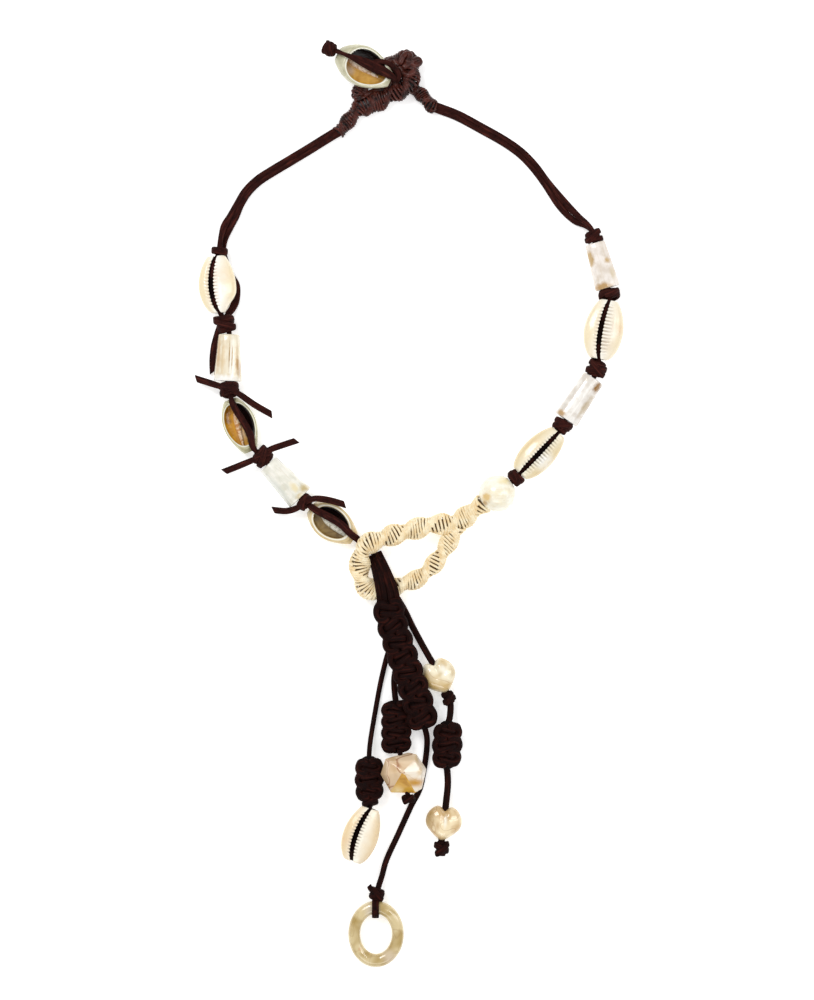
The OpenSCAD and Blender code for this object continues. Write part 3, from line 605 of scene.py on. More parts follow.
def half_knots(piece, route, pitch, lead, flat_r, ridge_r, cord, phase, seed, fill, segments=24, slim=1.0):
    """Cord knotted round a path with half knots, so that two ridges of knots turn about it.

    flat_r and ridge_r are the radii of the cord's middle between the ridges and on them, lead is how far
    along the path a ridge goes in half a turn, fill is the part of the pitch that a turn of cord takes, and
    slim gives a part of the radii at 0..1.
    """
    chance = random.Random(seed)
    rail = Rail(route)
    count = round(rail.length / pitch)
    step = rail.length / count
    turn = math.pi * step / lead
    core = flat_r - cord * 0.2
    # Core inside the turns, tinted so that the look paints it dark: painted shade between the turns.
    sweep(piece, spaced(curve(route, 12), 1.0)[1:-1], THIN, lambda u: 2 * value(slim, u) * core,
          lambda u: 1.6 * value(slim, u) * core, level=False, tint=CORE_SHADE)
    for i in range(count):
        s = (i + 0.5) * step
        p, t, side, up = rail.at(s)
        ridge = phase + i * turn
        k = value(slim, s / rail.length)
        squash = min(1.0, (p.z - 0.56 * cord) / (k * ridge_r))
        loose, wide = chance.uniform(-0.08, 0.1), chance.uniform(0.86, 1.0)
        nudge = chance.uniform(-0.08, 0.08)
        line = []
        for j in range(segments):
            a = TAU * j / segments
            c = math.cos(a - ridge)
            r = k * (flat_r + (ridge_r - flat_r) * abs(c) ** 2.6 + loose * 0.5)
            out = side * math.cos(a) + up * math.sin(a) * squash
            line.append((p + out * r + t * step * (0.36 * c + nudge), out))
        band(piece, line, step * wide * fill, cord * 0.92, OVAL, chance.uniform(0, 0.3),
             chance.uniform(0, 50), True)
        for n in (0, 1):
            line = []
            for j in range(9):
                f = j / 8
                a = ridge + n * math.pi + math.radians(-46 + 92 * f)
                r = k * (ridge_r + cord * (0.42 * math.sin(math.pi * f) - 0.16))
                q, _, side, up = rail.at(s + step * (-0.62 + 1.25 * f))
                out = side * math.cos(a) + up * math.sin(a) * squash
                line.append((q + out * r, out))
            band(piece, line, cord * 0.84, cord * 0.8, THIN, chance.uniform(0, 0.25), chance.uniform(0, 50))


def square_knots(rail, count, width, height, cord, seed, shape=1.0):
    """A flat sinnet of square knots along a rail: bars across both faces and a round loop at each side.

    shape gives a part of the width and height at 0..1.
    """
    piece = Piece()
    chance = random.Random(seed)
    step = rail.length / count
    # Core inside the knots, tinted so that the look paints it nearly black: painted shade between them.
    core = [tuple(rail.put(rail.length * i / 20, 0, 0)) for i in range(21)]
    sweep(piece, core, OVAL, lambda u: width * 0.84 * value(shape, u),
          lambda u: height * 0.6 * value(shape, u), tint=CORE_SHADE)
    for i in range(count):
        s = (i + 0.5) * step
        k = value(shape, (i + 0.5) / count)
        w, h = width / 2 * k - cord * 0.42, height / 2 * k - cord * 0.3
        for face in (1, -1):
            for part in (-1, 1):
                lean = (0.1 + chance.uniform(-0.06, 0.1)) * step * face * (1 if i % 2 else -1)
                reach = chance.uniform(0.5, 0.66)
                line = []
                for j in range(13):
                    g = -1 + 2 * j / 12
                    q, t, side, up = rail.at(s + part * step * 0.23 + lean * g)
                    arch = math.sqrt(max(0.0, 1 - (abs(g) * 0.93) ** 2.4))
                    line.append((q + side * g * w * reach + up * face * (h * (0.35 + 0.65 * arch)),
                                 (up * face * (0.3 + arch) + side * g * 0.8).normalized()))
                band(piece, line, step * chance.uniform(0.38, 0.46), cord * 0.78, BAR,
                     chance.uniform(0, 0.8), chance.uniform(0, 50))
        for hand in (-1, 1):
            tight = chance.uniform(0.92, 1.06)
            line = []
            for j in range(15):
                a = math.radians(-118 + 236 * j / 14)
                bulge = math.cos(a)
                q, t, side, up = rail.at(s + step * (0.5 * math.sin(a) * tight + 0.06 * hand))
                x = hand * (w * 0.56 + (w * 0.44 + 0.5) * max(bulge, -0.6))
                lift = h * (0.3 + 0.42 * (1 - bulge) + 0.08 * math.sin(a) * hand)
                line.append((q + side * x + up * lift,
                             (side * hand * max(bulge, 0) + up * (1 - 0.5 * bulge)).normalized()))
            band(piece, line, cord * chance.uniform(1.15, 1.35), cord * 0.95, OVAL,
                 chance.uniform(0, 0.8), chance.uniform(0, 50))
    return piece


def turned(piece, a, b, shape):
    """Dark round body inside a knot, about the line from a to b, from a list of part along and radius."""
    n = 28
    m = frame_on(a, b)
    h = half_length(a, b)
    local = [(z * h, r * x, r * y) for z, r in shape for x, y in circle(n)]
    points = [m @ Vector((x, y, z)) for z, x, y in local]
    piece.add(points, grid(len(shape), n) + caps(len(shape), n), [0.9] * len(points), local)


def ring_band(piece, m, z, radius, tilt, spin, width, height, chance):
    """One turn of lace round a knot's axis, at height z, tilted about the direction spin."""
    line = []
    drift = chance.uniform(-0.12, 0.12)
    tilt, spin = math.radians(tilt), math.radians(spin)
    for a in (TAU * j / 30 for j in range(30)):
        r = radius * (1 + 0.03 * math.sin(2 * a + drift * 20))
        out = Vector((math.cos(a), math.sin(a), 0))
        line.append((m @ (out * r + UP * (z + math.tan(tilt) * r * math.sin(a - spin))), m.to_3x3() @ out))
    band(piece, line, width, height, TURN, chance.uniform(0, 0.8), chance.uniform(0, 40), True)


def cross_band(piece, m, reach, radius, start, stop, width, height, chance, lift):
    """Lace that crosses a knot from one end to the other, from angle start to angle stop."""
    line = []
    for f in (j / 18 for j in range(19)):
        a = math.radians(start + (stop - start) * f)
        r = radius + lift * math.sin(math.pi * f)
        z = reach * (2 * ease(0.0, 1.0, f) - 1)
        line.append((m @ Vector((r * math.cos(a), r * math.sin(a), z)),
                     (m.to_3x3() @ Vector((math.cos(a), math.sin(a), 0.25 * (2 * f - 1)))).normalized()))
    band(piece, line, width, height, TURN, chance.uniform(0, 0.8), chance.uniform(0, 40))


def tail(piece, route, seed, w=TAIL_W, slant=0.7):
    """Cut lace end that leaves a knot, with a slanted cut."""
    chance = random.Random(seed)
    lean = chance.uniform(-0.25, 0.25)
    sweep(piece, spaced(curve(route, 10), 0.5), flat_section(4),
          lambda u: w * (0.86 + 0.14 * ease(0.0, 0.5, u)), TAIL_T, twist=lambda u: lean * math.sin(2.2 * u),
          ends=CUT_END, slant=slant, run=chance.uniform(0, 40))


# Shells
SHELL_H, SHELL_WALL, SLIT_HALF, TEETH = 9.8, 1.1, 0.8, 17
CUT_SHELL_H, CUT_H, CUT_WALL = 9, 5.2, 0.8


def full(t, e):
    """Fullness of a cowrie: 0 at its ends, 1 near its middle."""
    return max(math.sin(math.pi * t ** 0.9), 0.0) ** e


def placed(c, heading):
    """Matrix that turns a bead by heading degrees and sets it at c."""
    return Matrix.Translation(c) @ Matrix.Rotation(math.radians(heading), 4, "Z")


def cowrie_rows(long, wide, high, end_half, drop, rise, k, n, off=0.0, lip=0.0, pinch=0.0, wall=SHELL_WALL,
                e=0.7):
    """n + 1 rows of points of a cowrie with its slit up: for each place along it, its outer and its inner C.

    Each C has k points, with their places and a painted shade, 1 in the grooves between the outer face's
    teeth. drop and rise are how far the top and the bottom come in at the ends, off moves the crown to one
    side, lip makes one lobe's ribs long, and pinch is the part of its width that this lobe loses at the near
    end.
    """
    rows = []
    for i in range(n + 1):
        t = (1 - math.cos(math.pi * i / n)) / 2
        s = full(t, e)
        top, low = high - drop * (1 - s), rise * (1 - s)
        c = low + 0.6 * (top - low)
        a = end_half + (wide / 2 - end_half) * s
        x = (t - 0.5) * long
        tooth = 0.5 + 0.5 * math.cos(TAU * TEETH * t)
        inside = ease(0.04, 0.14, t) * (1 - ease(0.88, 0.96, t))
        slit = SLIT_HALF * (0.72 + 0.3 * s) + 0.05
        left = slit + 0.28 * (1 - tooth ** 1.5) * inside
        right = slit + 0.28 * tooth ** 1.5 * inside
        both = []
        for shell in (0, 1):
            half = a - shell * wall
            up = top - c - shell * (0.8 + 0.7 * s)
            down = c - low - shell * wall
            a0 = math.asin(min(left / half, 0.9) ** (1 / 0.85))
            a1 = math.asin(min(right / half, 0.9) ** (1 / 0.85))
            ring = []
            for j in range(k):
                f = j / (k - 1)
                g = f - 0.09 * math.sin(TAU * f)
                q = a0 + (TAU - a0 - a1) * g
                y = half * soft(math.sin(q), 0.85) + off * s * max(math.cos(q), 0)
                y += pinch * ease(0.36, 0.0, t) * max(-y - SLIT_HALF, 0)
                z = c + (up if math.cos(q) > 0 else down) * soft(math.cos(q), 0.8)
                shade = 0.0
                if shell == 0:
                    near = ease(0.14, 0.0, f), ease(0.86 - 0.06 * lip, 1.0, f)
                    rib = tooth * near[0] ** 1.5 + (1 - tooth) * near[1] ** (0.8 - lip) * (1 + lip)
                    dip = 0.34 * (near[0] ** 3 + near[1] ** 3)
                    z += (0.3 * rib - dip + 0.1) * inside * ease(0, 0.3, near[0] + near[1])
                    deep = (0.4 + 0.6 * math.sin(math.pi * t)) * tooth
                    shade = (0.8 * (1 - tooth) * near[0] ** 2 + deep * near[1] ** (1.6 - 1.3 * lip)) * inside
                ring.append((x, y, z, shade))
            both.append(ring)
        rows.append(both)
    return rows


def cowrie_mesh(rows, matrix):
    """Piece with a cowrie's surface, from its rows."""
    k, n = len(rows[0][0]), len(rows) - 1
    w = 2 * k
    points, tints = [], []
    for outer, inner in rows:
        points += [p[:3] for p in outer + inner[::-1]]
        tints += [GROOVE_SHADE * p[3] for p in outer] + [INNER] * k
    faces = grid(n + 1, w)
    for j in range(k - 1):
        faces.append((j, j + 1, w - 2 - j, w - 1 - j))
        faces.append((n * w + j + 1, n * w + j, n * w + w - 1 - j, n * w + w - 2 - j))
    return Piece().add([matrix @ Vector(p) for p in points], faces, tints, points)


def cowrie(name, c, long, wide, heading, off, look, lip=0.0, pinch=0.0):
    """Whole cowrie, slit up."""
    rows = cowrie_rows(long, wide, SHELL_H, 3.1, 2.0, 3.0, 64, 150, off, lip, pinch)
    cowrie_mesh(rows, placed(c, heading)).build(name, "shell", "cowrie_shell", look, sharp=70)


def cowrie_look(name, white, margin, spots, groove_shade_color=rgb(176, 140, 108)):
    """Glossy cowrie: pale by the slit, warmer to the margins, with ragged stains, painted shade in the
    grooves between its teeth and a darker inner face that is partly painted shade.

    spots: place, radius, colour and amount of each stain; on cowrie_r1 one of them is painted shade in the
    hollow of its lip.
    """
    k = Look(name, Coat_Weight=0.7, Coat_Roughness=0.07, Specular_IOR_Level=0.5)
    x, y, z = k.split(k.local())
    side = k.calc("ABSOLUTE", y)
    cloud = k.noise(4.5, 3.0, 0.5)
    reach = k.calc("ADD", k.calc("MULTIPLY", side, 0.13), k.calc("MULTIPLY", cloud, 0.5))
    color = k.ramp(reach, (0.35, white), (0.62, mid_tone(white, margin)), (0.95, margin))
    for place, radius, tone, amount in spots:
        area = k.calc("MULTIPLY", k.spot(place, radius), amount)
        ragged = k.calc("MULTIPLY", area, k.ramp(k.noise(2.2, 3.0), (0.3, 0.5), (0.6, 1.0)))
        color = k.mix(ragged, color, tone)
    tint = k.attribute()
    # Painted shade in the grooves between the teeth, where the tint is mid.
    color = k.over(color, groove_shade_color, tint, (0.08, 0.0), (0.4, 0.7), (0.5, 0.7), (0.55, 0.0))
    # The inner face, seen down the slit, darker brown: partly the shell's own inner colour, partly painted
    # shade.
    color = k.over(color, rgb(104, 78, 66), tint, (0.7, 0.0), (0.9, 1.0))
    k.bump(k.fibres(1.4, 0.35), 0.12, 0.12)
    return k.done(color, k.ramp(cloud, (0.3, 0.2), (0.7, 0.32)))


cowrie("cowrie_l1", (-73.2, 84.1, 0), 21.6, 13.6, 94, 2.6,
       cowrie_look("cowrie_cream", rgb(254, 249, 238), rgb(245, 228, 190),
                   [((3.0, -2.0, 9.0), 6.0, rgb(246, 222, 190), 0.55),
                    ((5.5, 4.6, 7.0), 1.3, rgb(196, 150, 96), 0.5)]), pinch=0.5)
cowrie("cowrie_r1", (73.3, 66.9, 0), 22.6, 14.9, 80, 1.5,
       cowrie_look("cowrie_blush", rgb(253, 247, 234), rgb(244, 228, 194),
                   [((1.0, -4.4, 8.2), 3.8, rgb(226, 172, 110), 0.75),
                    # Painted shade in the hollow of the lip beside the slit:
                    ((-5.5, -2.0, 8.6), 4.0, rgb(214, 190, 164), 0.5),
                    ((0, -3.4, 9.6), 4.5, rgb(255, 252, 244), 0.5)], rgb(158, 132, 102)), lip=0.75)
cowrie("cowrie_r2", (48.6, 20.1, 0), 21.4, 12.6, 46.6, 0.0,
       cowrie_look("cowrie_straw", rgb(250, 242, 220), rgb(228, 206, 158),
                   [((0.5, 3.6, 8.2), 5.0, rgb(238, 206, 158), 0.6),
                    ((-1.0, -3.0, 9.4), 6.0, rgb(255, 253, 248), 0.9)], rgb(132, 120, 98)), lip=0.75)
cowrie("cowrie_tassel", (-18.8, -124.8, 0), 21.2, 13.2, 71, 2.1,
       cowrie_look("cowrie_freckled", rgb(252, 244, 226), rgb(238, 212, 168),
                   [((-3.5, 4.6, 7.8), 3.0, rgb(232, 186, 142), 0.6)], groove_shade_color=rgb(96, 72, 56)))


# Looks
SUEDE = suede_look("brown_suede", rgb(22, 6, 5), rgb(46, 17, 14), rgb(86, 39, 31))
SUEDE_DARK = suede_look("dark_suede", rgb(8, 2, 2), rgb(26, 8, 6), rgb(64, 23, 15))
WAXED = cord_look("waxed_cord", rgb(26, 8, 6), rgb(88, 40, 31), 0.27, 0.28, rgb(8, 3, 3))
CREAM = cord_look("cream_cord", rgb(236, 210, 162), rgb(255, 243, 212), 0.3, 0.58, rgb(112, 82, 46))

# Laces
half_pair = LACE_W / 2 + 0.02
lace("lace_left", beside_line(LEFT_NECK, half_pair) + LEFT_ON, LACE_W, LACE_T, SUEDE, 1)
lace("lace_left_second", beside_line(LEFT_NECK, -half_pair) + SECOND_ON, LACE_W, LACE_T, SUEDE, 2)
lace("lace_right", beside_line(RIGHT_NECK, -half_pair) + RIGHT_ON, LACE_W, LACE_T, SUEDE, 3)
lace("lace_right_second", beside_line(RIGHT_NECK, half_pair) + RIGHT_SECOND_ON, LACE_W, LACE_T, SUEDE, 4)
lace("toggle_cord", TOGGLE_PATH, LACE_W, LACE_T, SUEDE, 5, more=[TOGGLE_SECOND])

# Strands: name, route, and parts of the diameter across and up
for i, (name, route, across, up) in enumerate((
        ("strand_ring", RING_STRAND, 1.18, 1), ("strand_left", LEFT_STRAND, 1, 0.85),
        ("strand_short", SHORT_STRAND, 1.2, 0.9), ("strand_right", RIGHT_STRAND, 1.3, 1),
        ("bead_thread", BEAD_THREAD, 1, 0.9))):
    lace(name, route, STRAND_D * across, STRAND_D * up, SUEDE_DARK, 6 + i, ROUND)

# Corded loops and sleeve, whose cords go on a little into what they meet
cream = Piece()
half_knots(cream, [(27.6, 1.0, 6.6)] + CREAM_PATH + [(18, -7.8, 3.7)], pitch=1.3, lead=9.6, flat_r=2.4,
           ridge_r=3.55, cord=1.25, phase=0.4, seed=11, fill=0.82, segments=28,
           slim=lambda u: 0.95 + 0.05 * ease(0.0, 0.1, u) - 0.14 * ease(0.6, 0.75, u))
cream.build("cream_loop", "cord", "cream_cord", CREAM)
clasp = Piece()
half_knots(clasp, [(-27.6, 142.3, 2.2)] + CLASP_NECK[:-1] + CLASP_RING + [(-18.6, 154.6, 2.8)], pitch=1.2,
           lead=7.6, flat_r=2.35, ridge_r=3.0, cord=1.2, phase=1.0, seed=12, fill=0.84,
           slim=lambda u: 0.84 + 0.16 * ease(0.12, 0.18, u) + 0.4 * bump_at(u, 0.245, 0.12)
           - 0.08 * bump_at(u, 0.35, 0.03) - 0.12 * ease(0.66, 0.74, u))
for ear in CLASP_EARS:
    sweep(clasp, spaced(curve(ear, 8), 0.5), ROUND, 2.3, 2.1, tint=0.1)
clasp.build("clasp_loop", "cord", "brown_waxed_cord", WAXED)
sleeve = Piece()
half_knots(sleeve, [(0, 159.6, 2.8)] + CLASP_SLEEVE + [(9.2, 151.5, 2.1)], pitch=1.0, lead=5.6, flat_r=1.9,
           ridge_r=2.3, cord=1.0, phase=0.4, seed=13, fill=0.84)
sleeve.build("clasp_sleeve", "cord", "brown_waxed_cord", WAXED)

# Braids
for name, route, count, width, seed in (("braid_long", LONG_BRAID, 8, 10.8, 14),
                                        ("braid_short", SHORT_BRAID, 4, 10.4, 15)):
    braid = square_knots(Rail(route, True), count, width, height=5.2, cord=2.4, seed=seed)
    braid.build(name, "suede", "brown_braid", SUEDE_DARK)


# Knots
def knot(name, a, b, d, rings, crosses=(), tails=(), *, look, seed, fill):
    """Knot about the line from a to b, no wider than d, whose dark inside takes the part fill of its width.

    rings: part of the half length, part of the radius, tilt, direction of the tilt and width of each turn.
    crosses: angles at both ends, width and lift of each lace that crosses it; 180 degrees is the top.
    """
    chance = random.Random(seed)
    m = frame_on(a, b)
    half = half_length(a, b)
    piece = Piece()
    r = d / 2
    turned(piece, a, b, [(-1, 0.5 * r), (-0.92, fill * r * 0.9), (-0.4, fill * r), (0.4, fill * r),
                         (0.92, fill * r * 0.9), (1, 0.5 * r)])
    for z, part, tilt, spin, width in rings:
        ring_band(piece, m, z * half, part * r - LACE_T / 2, tilt, spin, width, LACE_T, chance)
    for start, stop, width, lift in crosses:
        cross_band(piece, m, half * 0.72, r - LACE_T * 0.42, start, stop, width, LACE_T * 0.9, chance, lift)
    for k, route in enumerate(tails):
        tail(piece, route, seed * 10 + k)
    piece.build(name, "suede", "brown_lace", look)


# Name, ends, size, turns, crossing laces and tails of each knot, as knot() takes them
KNOTS = (
    ("toggle_knot", (-32.9, 173.7, 8.8), (-28.7, 172.3, 10.2), 5.8, [(-0.62, 0.84, 10, 0, 1.7),
     (0.02, 1, -12, 60, 1.9), (0.66, 0.86, 8, 120, 1.7)], [(70, 250, 1.6, 0.2)]),
    ("knot_l1", (-72.6, 98.2, 5.0), (-72.8, 95.5, 5.1), 6.5, [(0.0, 1, 4, 40, 2.7)]),
    ("knot_l2", (-71.5, 72.2, 4.8), (-69.6, 66.4, 4.6), 8.2, [(-0.62, 0.98, 14, 0, 2.3),
     (0.1, 0.86, -16, 30, 2.3), (0.74, 0.8, 3, 0, 2.2)], [(262, 120, 2.4, 0.5)], [[(-72.3, 69.6, 4.6),
     (-73.6, 66, 3.0), (-75, 61, 1.2), (-75.6, 56, 0.9), (-75.5, 51, 0.9)]]),
    ("knot_l3", (-69.3, 46.2, 5.0), (-68.6, 42.2, 5.9), 7.8, [(-0.66, 1, 3, 0, 2.2),
     (0.5, 0.86, -12, 90, 2.3)], [(255, 110, 2.4, 0.6), (150, 268, 1.8, 0.2)], [[(-69.0, 44.4, 8.2),
     (-73, 45.6, 7.2), (-77, 46.9, 5.4), (-81.6, 48.4, 3.4)], [(-68.6, 44.4, 7.8), (-64.5, 42, 8.8),
     (-59, 38.2, 8.4), (-53, 34.8, 5.6)]]),
    ("knot_l4", (-58.4, 20.6, 5.9), (-55, 16.9, 4.9), 7.8, [(-0.5, 0.98, -10, 20, 2.5),
     (0.58, 0.88, 10, 70, 2.5)], [(105, 250, 2.3, 0.6), (210, 95, 1.7, 0.2)], [[(-57.4, 19.2, 8.0),
     (-53.4, 21.4, 7.0), (-48.6, 23.2, 5.0), (-43.6, 24.9, 3.2)], [(-57.2, 18.6, 8.0), (-61, 17, 7.0),
     (-66, 15, 4.6), (-71, 13.1, 2.6)]]),
    ("knot_l5", (-41.3, 2.2, 4.9), (-39, 0.5, 5.9), 6.8, [(-0.1, 1, 8, 0, 2.7)], [(110, 250, 2.2, 0.6)],
     [[(-40.2, 1.5, 7.8), (-36.4, 2.8, 8.6), (-31, 2.2, 9.0), (-25, 0.5, 8.4)], [(-40.2, 1.3, 7.6),
     (-43.6, -0.9, 6.0), (-47.6, -1.9, 3.8), (-52.4, -1.5, 2.4)]]),
    ("knot_r1", (68.8, 104.5, 4.6), (69.75, 100.4, 4.6), 7.0, [(-0.5, 0.9, -14, 0, 2.3),
     (0.55, 1, 5, 60, 2.2)], [(120, 235, 2.2, 0.3)]),
    ("knot_r2", (75.1, 81.95, 4.8), (75.4, 79.15, 5.3), 8.2, [(-0.35, 0.92, 0, 0, 2.2),
     (0.35, 1, -13, 90, 2.2)], [(100, 200, 2.0, 0.2)]),
    ("knot_r3", (71.2, 55, 5.4), (69.8, 49.7, 4.8), 7.9, [(-0.55, 0.84, 15, 50, 2.4),
     (0.2, 1, -12, 0, 2.5), (0.78, 0.78, 0, 0, 1.9)], [(240, 115, 2.3, 0.4)]),
    ("knot_r4", (58.4, 32.1, 4.8), (56.4, 28.7, 5.3), 7.7, [(-0.6, 1, 4, 90, 2.1),
     (0.1, 0.92, -10, 0, 2.1), (0.75, 0.7, 8, 0, 1.8)], [(115, 245, 2.1, 0.3)]),
    ("knot_r5", (40.6, 11.7, 5.9), (38.45, 9.4, 6.5), 6.9, [(-0.35, 0.98, -8, 0, 2.2),
     (0.55, 0.86, 10, 50, 1.9)], [(235, 125, 2.1, 0.3)]),
    ("knot_left", (-15.7, -110.85, 5.2), (-15.45, -113.4, 5.4), 6.6, [(-0.3, 0.9, 6, 0, 2.0),
     (0.5, 1, -10, 60, 2.0)], [(120, 235, 1.9, 0.2)]),
    ("knot_heart", (13.55, -70.8, 3.7), (15.05, -75.1, 3.6), 5.4, [(-0.55, 0.9, 10, 0, 2.0),
     (0.35, 1, -14, 40, 2.2)], [(130, 230, 2.0, 0.2)]),
    ("knot_end", (11.8, -127.45, 3.6), (11.3, -133, 3.5), 6.0, [(-0.1, 1, 22, 0, 2.4),
     (0.5, 0.8, -18, 30, 2.2)], [(110, 225, 2.4, 0.2)]),
    ("knot_bead", (-1.2, -109.8, 7.3), (-0.8, -112.1, 6.9), 5.2, [(0.0, 1, 12, 20, 2.1)],
     [(125, 240, 1.8, 0.2)]),
)
TASSEL_KNOTS = ("knot_left", "knot_heart", "knot_end", "knot_bead")
FILLS = {"knot_l1": 0.8, "knot_end": 0.66}
for i, row in enumerate(KNOTS):
    dark = row[0] in TASSEL_KNOTS
    knot(*row, look=SUEDE_DARK if dark else SUEDE, seed=21 + i, fill=FILLS.get(row[0], 0.74))


def ring_knot():
    """Knot above the oval ring, and the fold of lace over the ring's top."""
    chance = random.Random(36)
    a, b = (-12.6, -145.4, 4.1), (-13.3, -149.4, 4.3)
    m = frame_on(a, b)
    piece = Piece()
    turned(piece, a, b, [(-1, 1.5), (-0.9, 2.0), (-0.4, 2.2), (0.4, 2.2), (0.9, 2.0), (1, 1.5)])
    for z, part, tilt, width in ((-1.2, 0.92, 10, 1.9), (0.4, 1, -14, 2.1), (1.6, 0.86, 4, 1.7)):
        ring_band(piece, m, z, part * 3 - 0.7, tilt, 0, width, 1.4, chance)
    cross_band(piece, m, 1.6, 2.5, 235, 120, 2.0, 1.3, chance, 0.2)
    tail(piece, [(-14.2, -146.8, 5.2), (-15.4, -145.4, 5.4), (-15.9, -144.2, 5.2)], 37, w=1.8, slant=0.4)
    outs = [Vector((0, y, x)) for x, y in circle(32)]
    line = [(Vector((-13.5, -152.8, 4.1)) + out * 3.45, out) for out in outs]
    band(piece, line, 2.7, 0.95, FOLD, 0.4, 0.0, True)
    piece.build("knot_ring", "suede", "brown_lace", SUEDE_DARK)


def tassel_head():
    """Laces that come out from under the cream loop, side by side, and over its lower leg."""
    piece = Piece()
    rail = Rail(HEAD_PATH, True)
    # Part of the way across, lift and width of each lace
    lanes = ((-0.39, 0.0, 2.3), (-0.12, 0.5, 2.3), (0.15, 0.1, 2.2), (0.4, -0.2, 2.2), (0.02, -0.8, 2.6))
    for k, (x, lift, w) in enumerate(lanes):
        path = []
        for i in range(34):
            u = i / 33
            wide = 4.6 + 3.8 * u
            path.append(tuple(rail.put(u * rail.length, x * wide + 0.12 * math.sin(6 * u + k),
                                       0.35 + lift * 0.6 + 0.1 * math.sin(5 * u + 2 * k))))
        sweep(piece, path, flat_section(4, 0.5), w, 1.35, twist=0.3 * math.sin(k * 2.3), tint=0.2 * k,
              run=9 * k, ends=CUT_END)
    piece.build("tassel_head", "suede", "brown_lace", SUEDE_DARK)


ring_knot()
tassel_head()


def barrel(name, a, b, d, turns, seed):
    """Barrel of square knots round a strand."""
    rail = Rail([a, tuple((Vector(a) + Vector(b)) / 2), b], True)
    piece = square_knots(rail, turns, d, d * 0.86, 2.5, seed, lambda u: 1 - 0.2 * abs(2 * u - 1) ** 3)
    turned(piece, a, b, [(-0.96, d * 0.2), (-0.7, d * 0.34), (0.7, d * 0.34), (0.96, d * 0.2)])
    piece.build(name, "suede", "brown_braid", SUEDE_DARK)


barrel("barrel_left", (-15.9, -96.9, 5.1), (-15.7, -110.4, 5.1), 10.0, 3, 38)
barrel("barrel_right", (14, -83.6, 5.2), (13.5, -97.8, 5.2), 10.4, 3, 39)


# Beads
BORE = 3.8


def facet_section(sides, chance):
    """Section of an uneven prism with soft corners, radius about 1."""
    turns = [TAU * (j + chance.uniform(-0.16, 0.16)) / sides for j in range(sides)]
    corners = [Vector((math.cos(a), math.sin(a))) for a in turns]
    out = []
    for j, c in enumerate(corners):
        p, q = c.lerp(corners[j - 1], 0.12), c.lerp(corners[(j + 1) % sides], 0.12)
        out += [p, p.lerp(q, 0.5).lerp(c, 0.45), q]
    return out


def bored(name, points, local, rows, look, sharp):
    """Bead whose rows of points go round its outside and back through its bore."""
    faces = grid(rows, len(points) // rows, True)
    Piece().add(points, faces, None, local).build(name, "bead", "white_bead", look, sharp=sharp)


def tube_end(d):
    """A tube's eased end: distance from the end, radius and how much of the facets shows."""
    return [(0.25, BORE / 2, 0), (0, BORE / 2 + 0.3, 0), (0, d / 2 - 0.5, 0.6), (0.12, d / 2 - 0.16, 1),
            (0.5, d / 2, 1)]


def tube_bead(name, a, b, d1, d2, look, seed, sides=9):
    """Tube bead cut with long facets, its edges eased and its bore open. It is a little wider than high."""
    section = facet_section(sides, random.Random(seed))
    swell, flare, flatten = 1.12, 1.1, 0.92
    m = frame_on(a, b)
    h = half_length(a, b)
    profile = [(z - h, r, cut) for z, r, cut in tube_end(d1)]
    profile += [(-h + 0.5 + (2 * h - 1) * k / 8, d1 / 2 + (d2 - d1) / 2 * k / 8, 1) for k in range(1, 8)]
    profile += [(h - z, r, cut) for z, r, cut in reversed(tube_end(d2))]
    points, local = [], []
    for z, r, cut in profile:
        middle = m @ Vector((0, 0, z))
        for corner in section:
            q = corner.normalized().lerp(corner, cut) * r * (swell if cut else 1)
            away = m @ Vector((q.x, q.y, z)) - middle
            points.append(middle + Vector((flare * away.x, flare * away.y, flatten * away.z)))
            local.append((z, q.y, -q.x))
    bored(name, points, local, len(profile), look, 38)


def nacre_look(name, white, grey, spots):
    """Polished shell bead: white with faint lengthwise bands, soft grey clouds and tan or brown patches."""
    k = Look(name, Coat_Weight=0.5, Coat_Roughness=0.08, Specular_IOR_Level=0.55)
    bands = k.fibres(1.3, 0.18, 0.55, 0.4)
    cloud = k.noise(3.8, 3.0, 0.5)
    color = k.ramp(cloud, (0.38, grey), (0.58, white))
    color = k.over(color, tuple(0.86 * c for c in grey), bands, (0.45, 0.0), (0.7, 0.35))
    color = k.over(color, rgb(206, 184, 146), k.fibres(0.55, 0.07), (0.55, 0.0), (0.75, 0.4))
    for place, radius, by, tone, amount in spots:
        area = k.spot(place, radius, by)
        edge = k.calc("ADD", area, k.calc("MULTIPLY", k.calc("SUBTRACT", k.noise(1.5, 3.0), 0.5), 0.9))
        color = k.mix(k.calc("MULTIPLY", k.ramp(edge, (0.25, 0.0), (0.85, 1.0)), amount), color, tone)
    fine = k.noise(0.8, 3.0)
    k.bump(bands, 0.08, 0.1)
    return k.done(color, k.ramp(fine, (0.3, 0.16), (0.7, 0.26)))


def ball(name, centre, d, axis, look):
    """Round bead with a bore and eased holes."""
    m = frame_on(Vector(centre) - Vector(axis) / 2, Vector(centre) + Vector(axis) / 2)
    r, n = d / 2, 56
    edge = math.asin(BORE / 2 / r)
    inside = r * math.cos(edge) - 0.7
    arc = [edge * 1.12 + (math.pi - 2.24 * edge) * k / 32 for k in range(33)]
    profile = [(-inside, BORE / 2), *((-r * math.cos(a), r * math.sin(a)) for a in arc), (inside, BORE / 2)]
    flat = [Vector((q * x, q * y, z)) for z, q in profile for x, y in circle(n)]
    bored(name, [m @ p for p in flat], [m.to_3x3() @ p for p in flat], len(profile), look, 60)


def heart_reach(t):
    """Part of the radius of a heart's outline at t degrees from its cleft."""
    return (1 - 0.33 * math.exp(-(t / 16) ** 2) - 0.12 * math.exp(-((t - 138) / 30) ** 2)
            + 0.05 * math.exp(-((180 - t) / 14) ** 2))


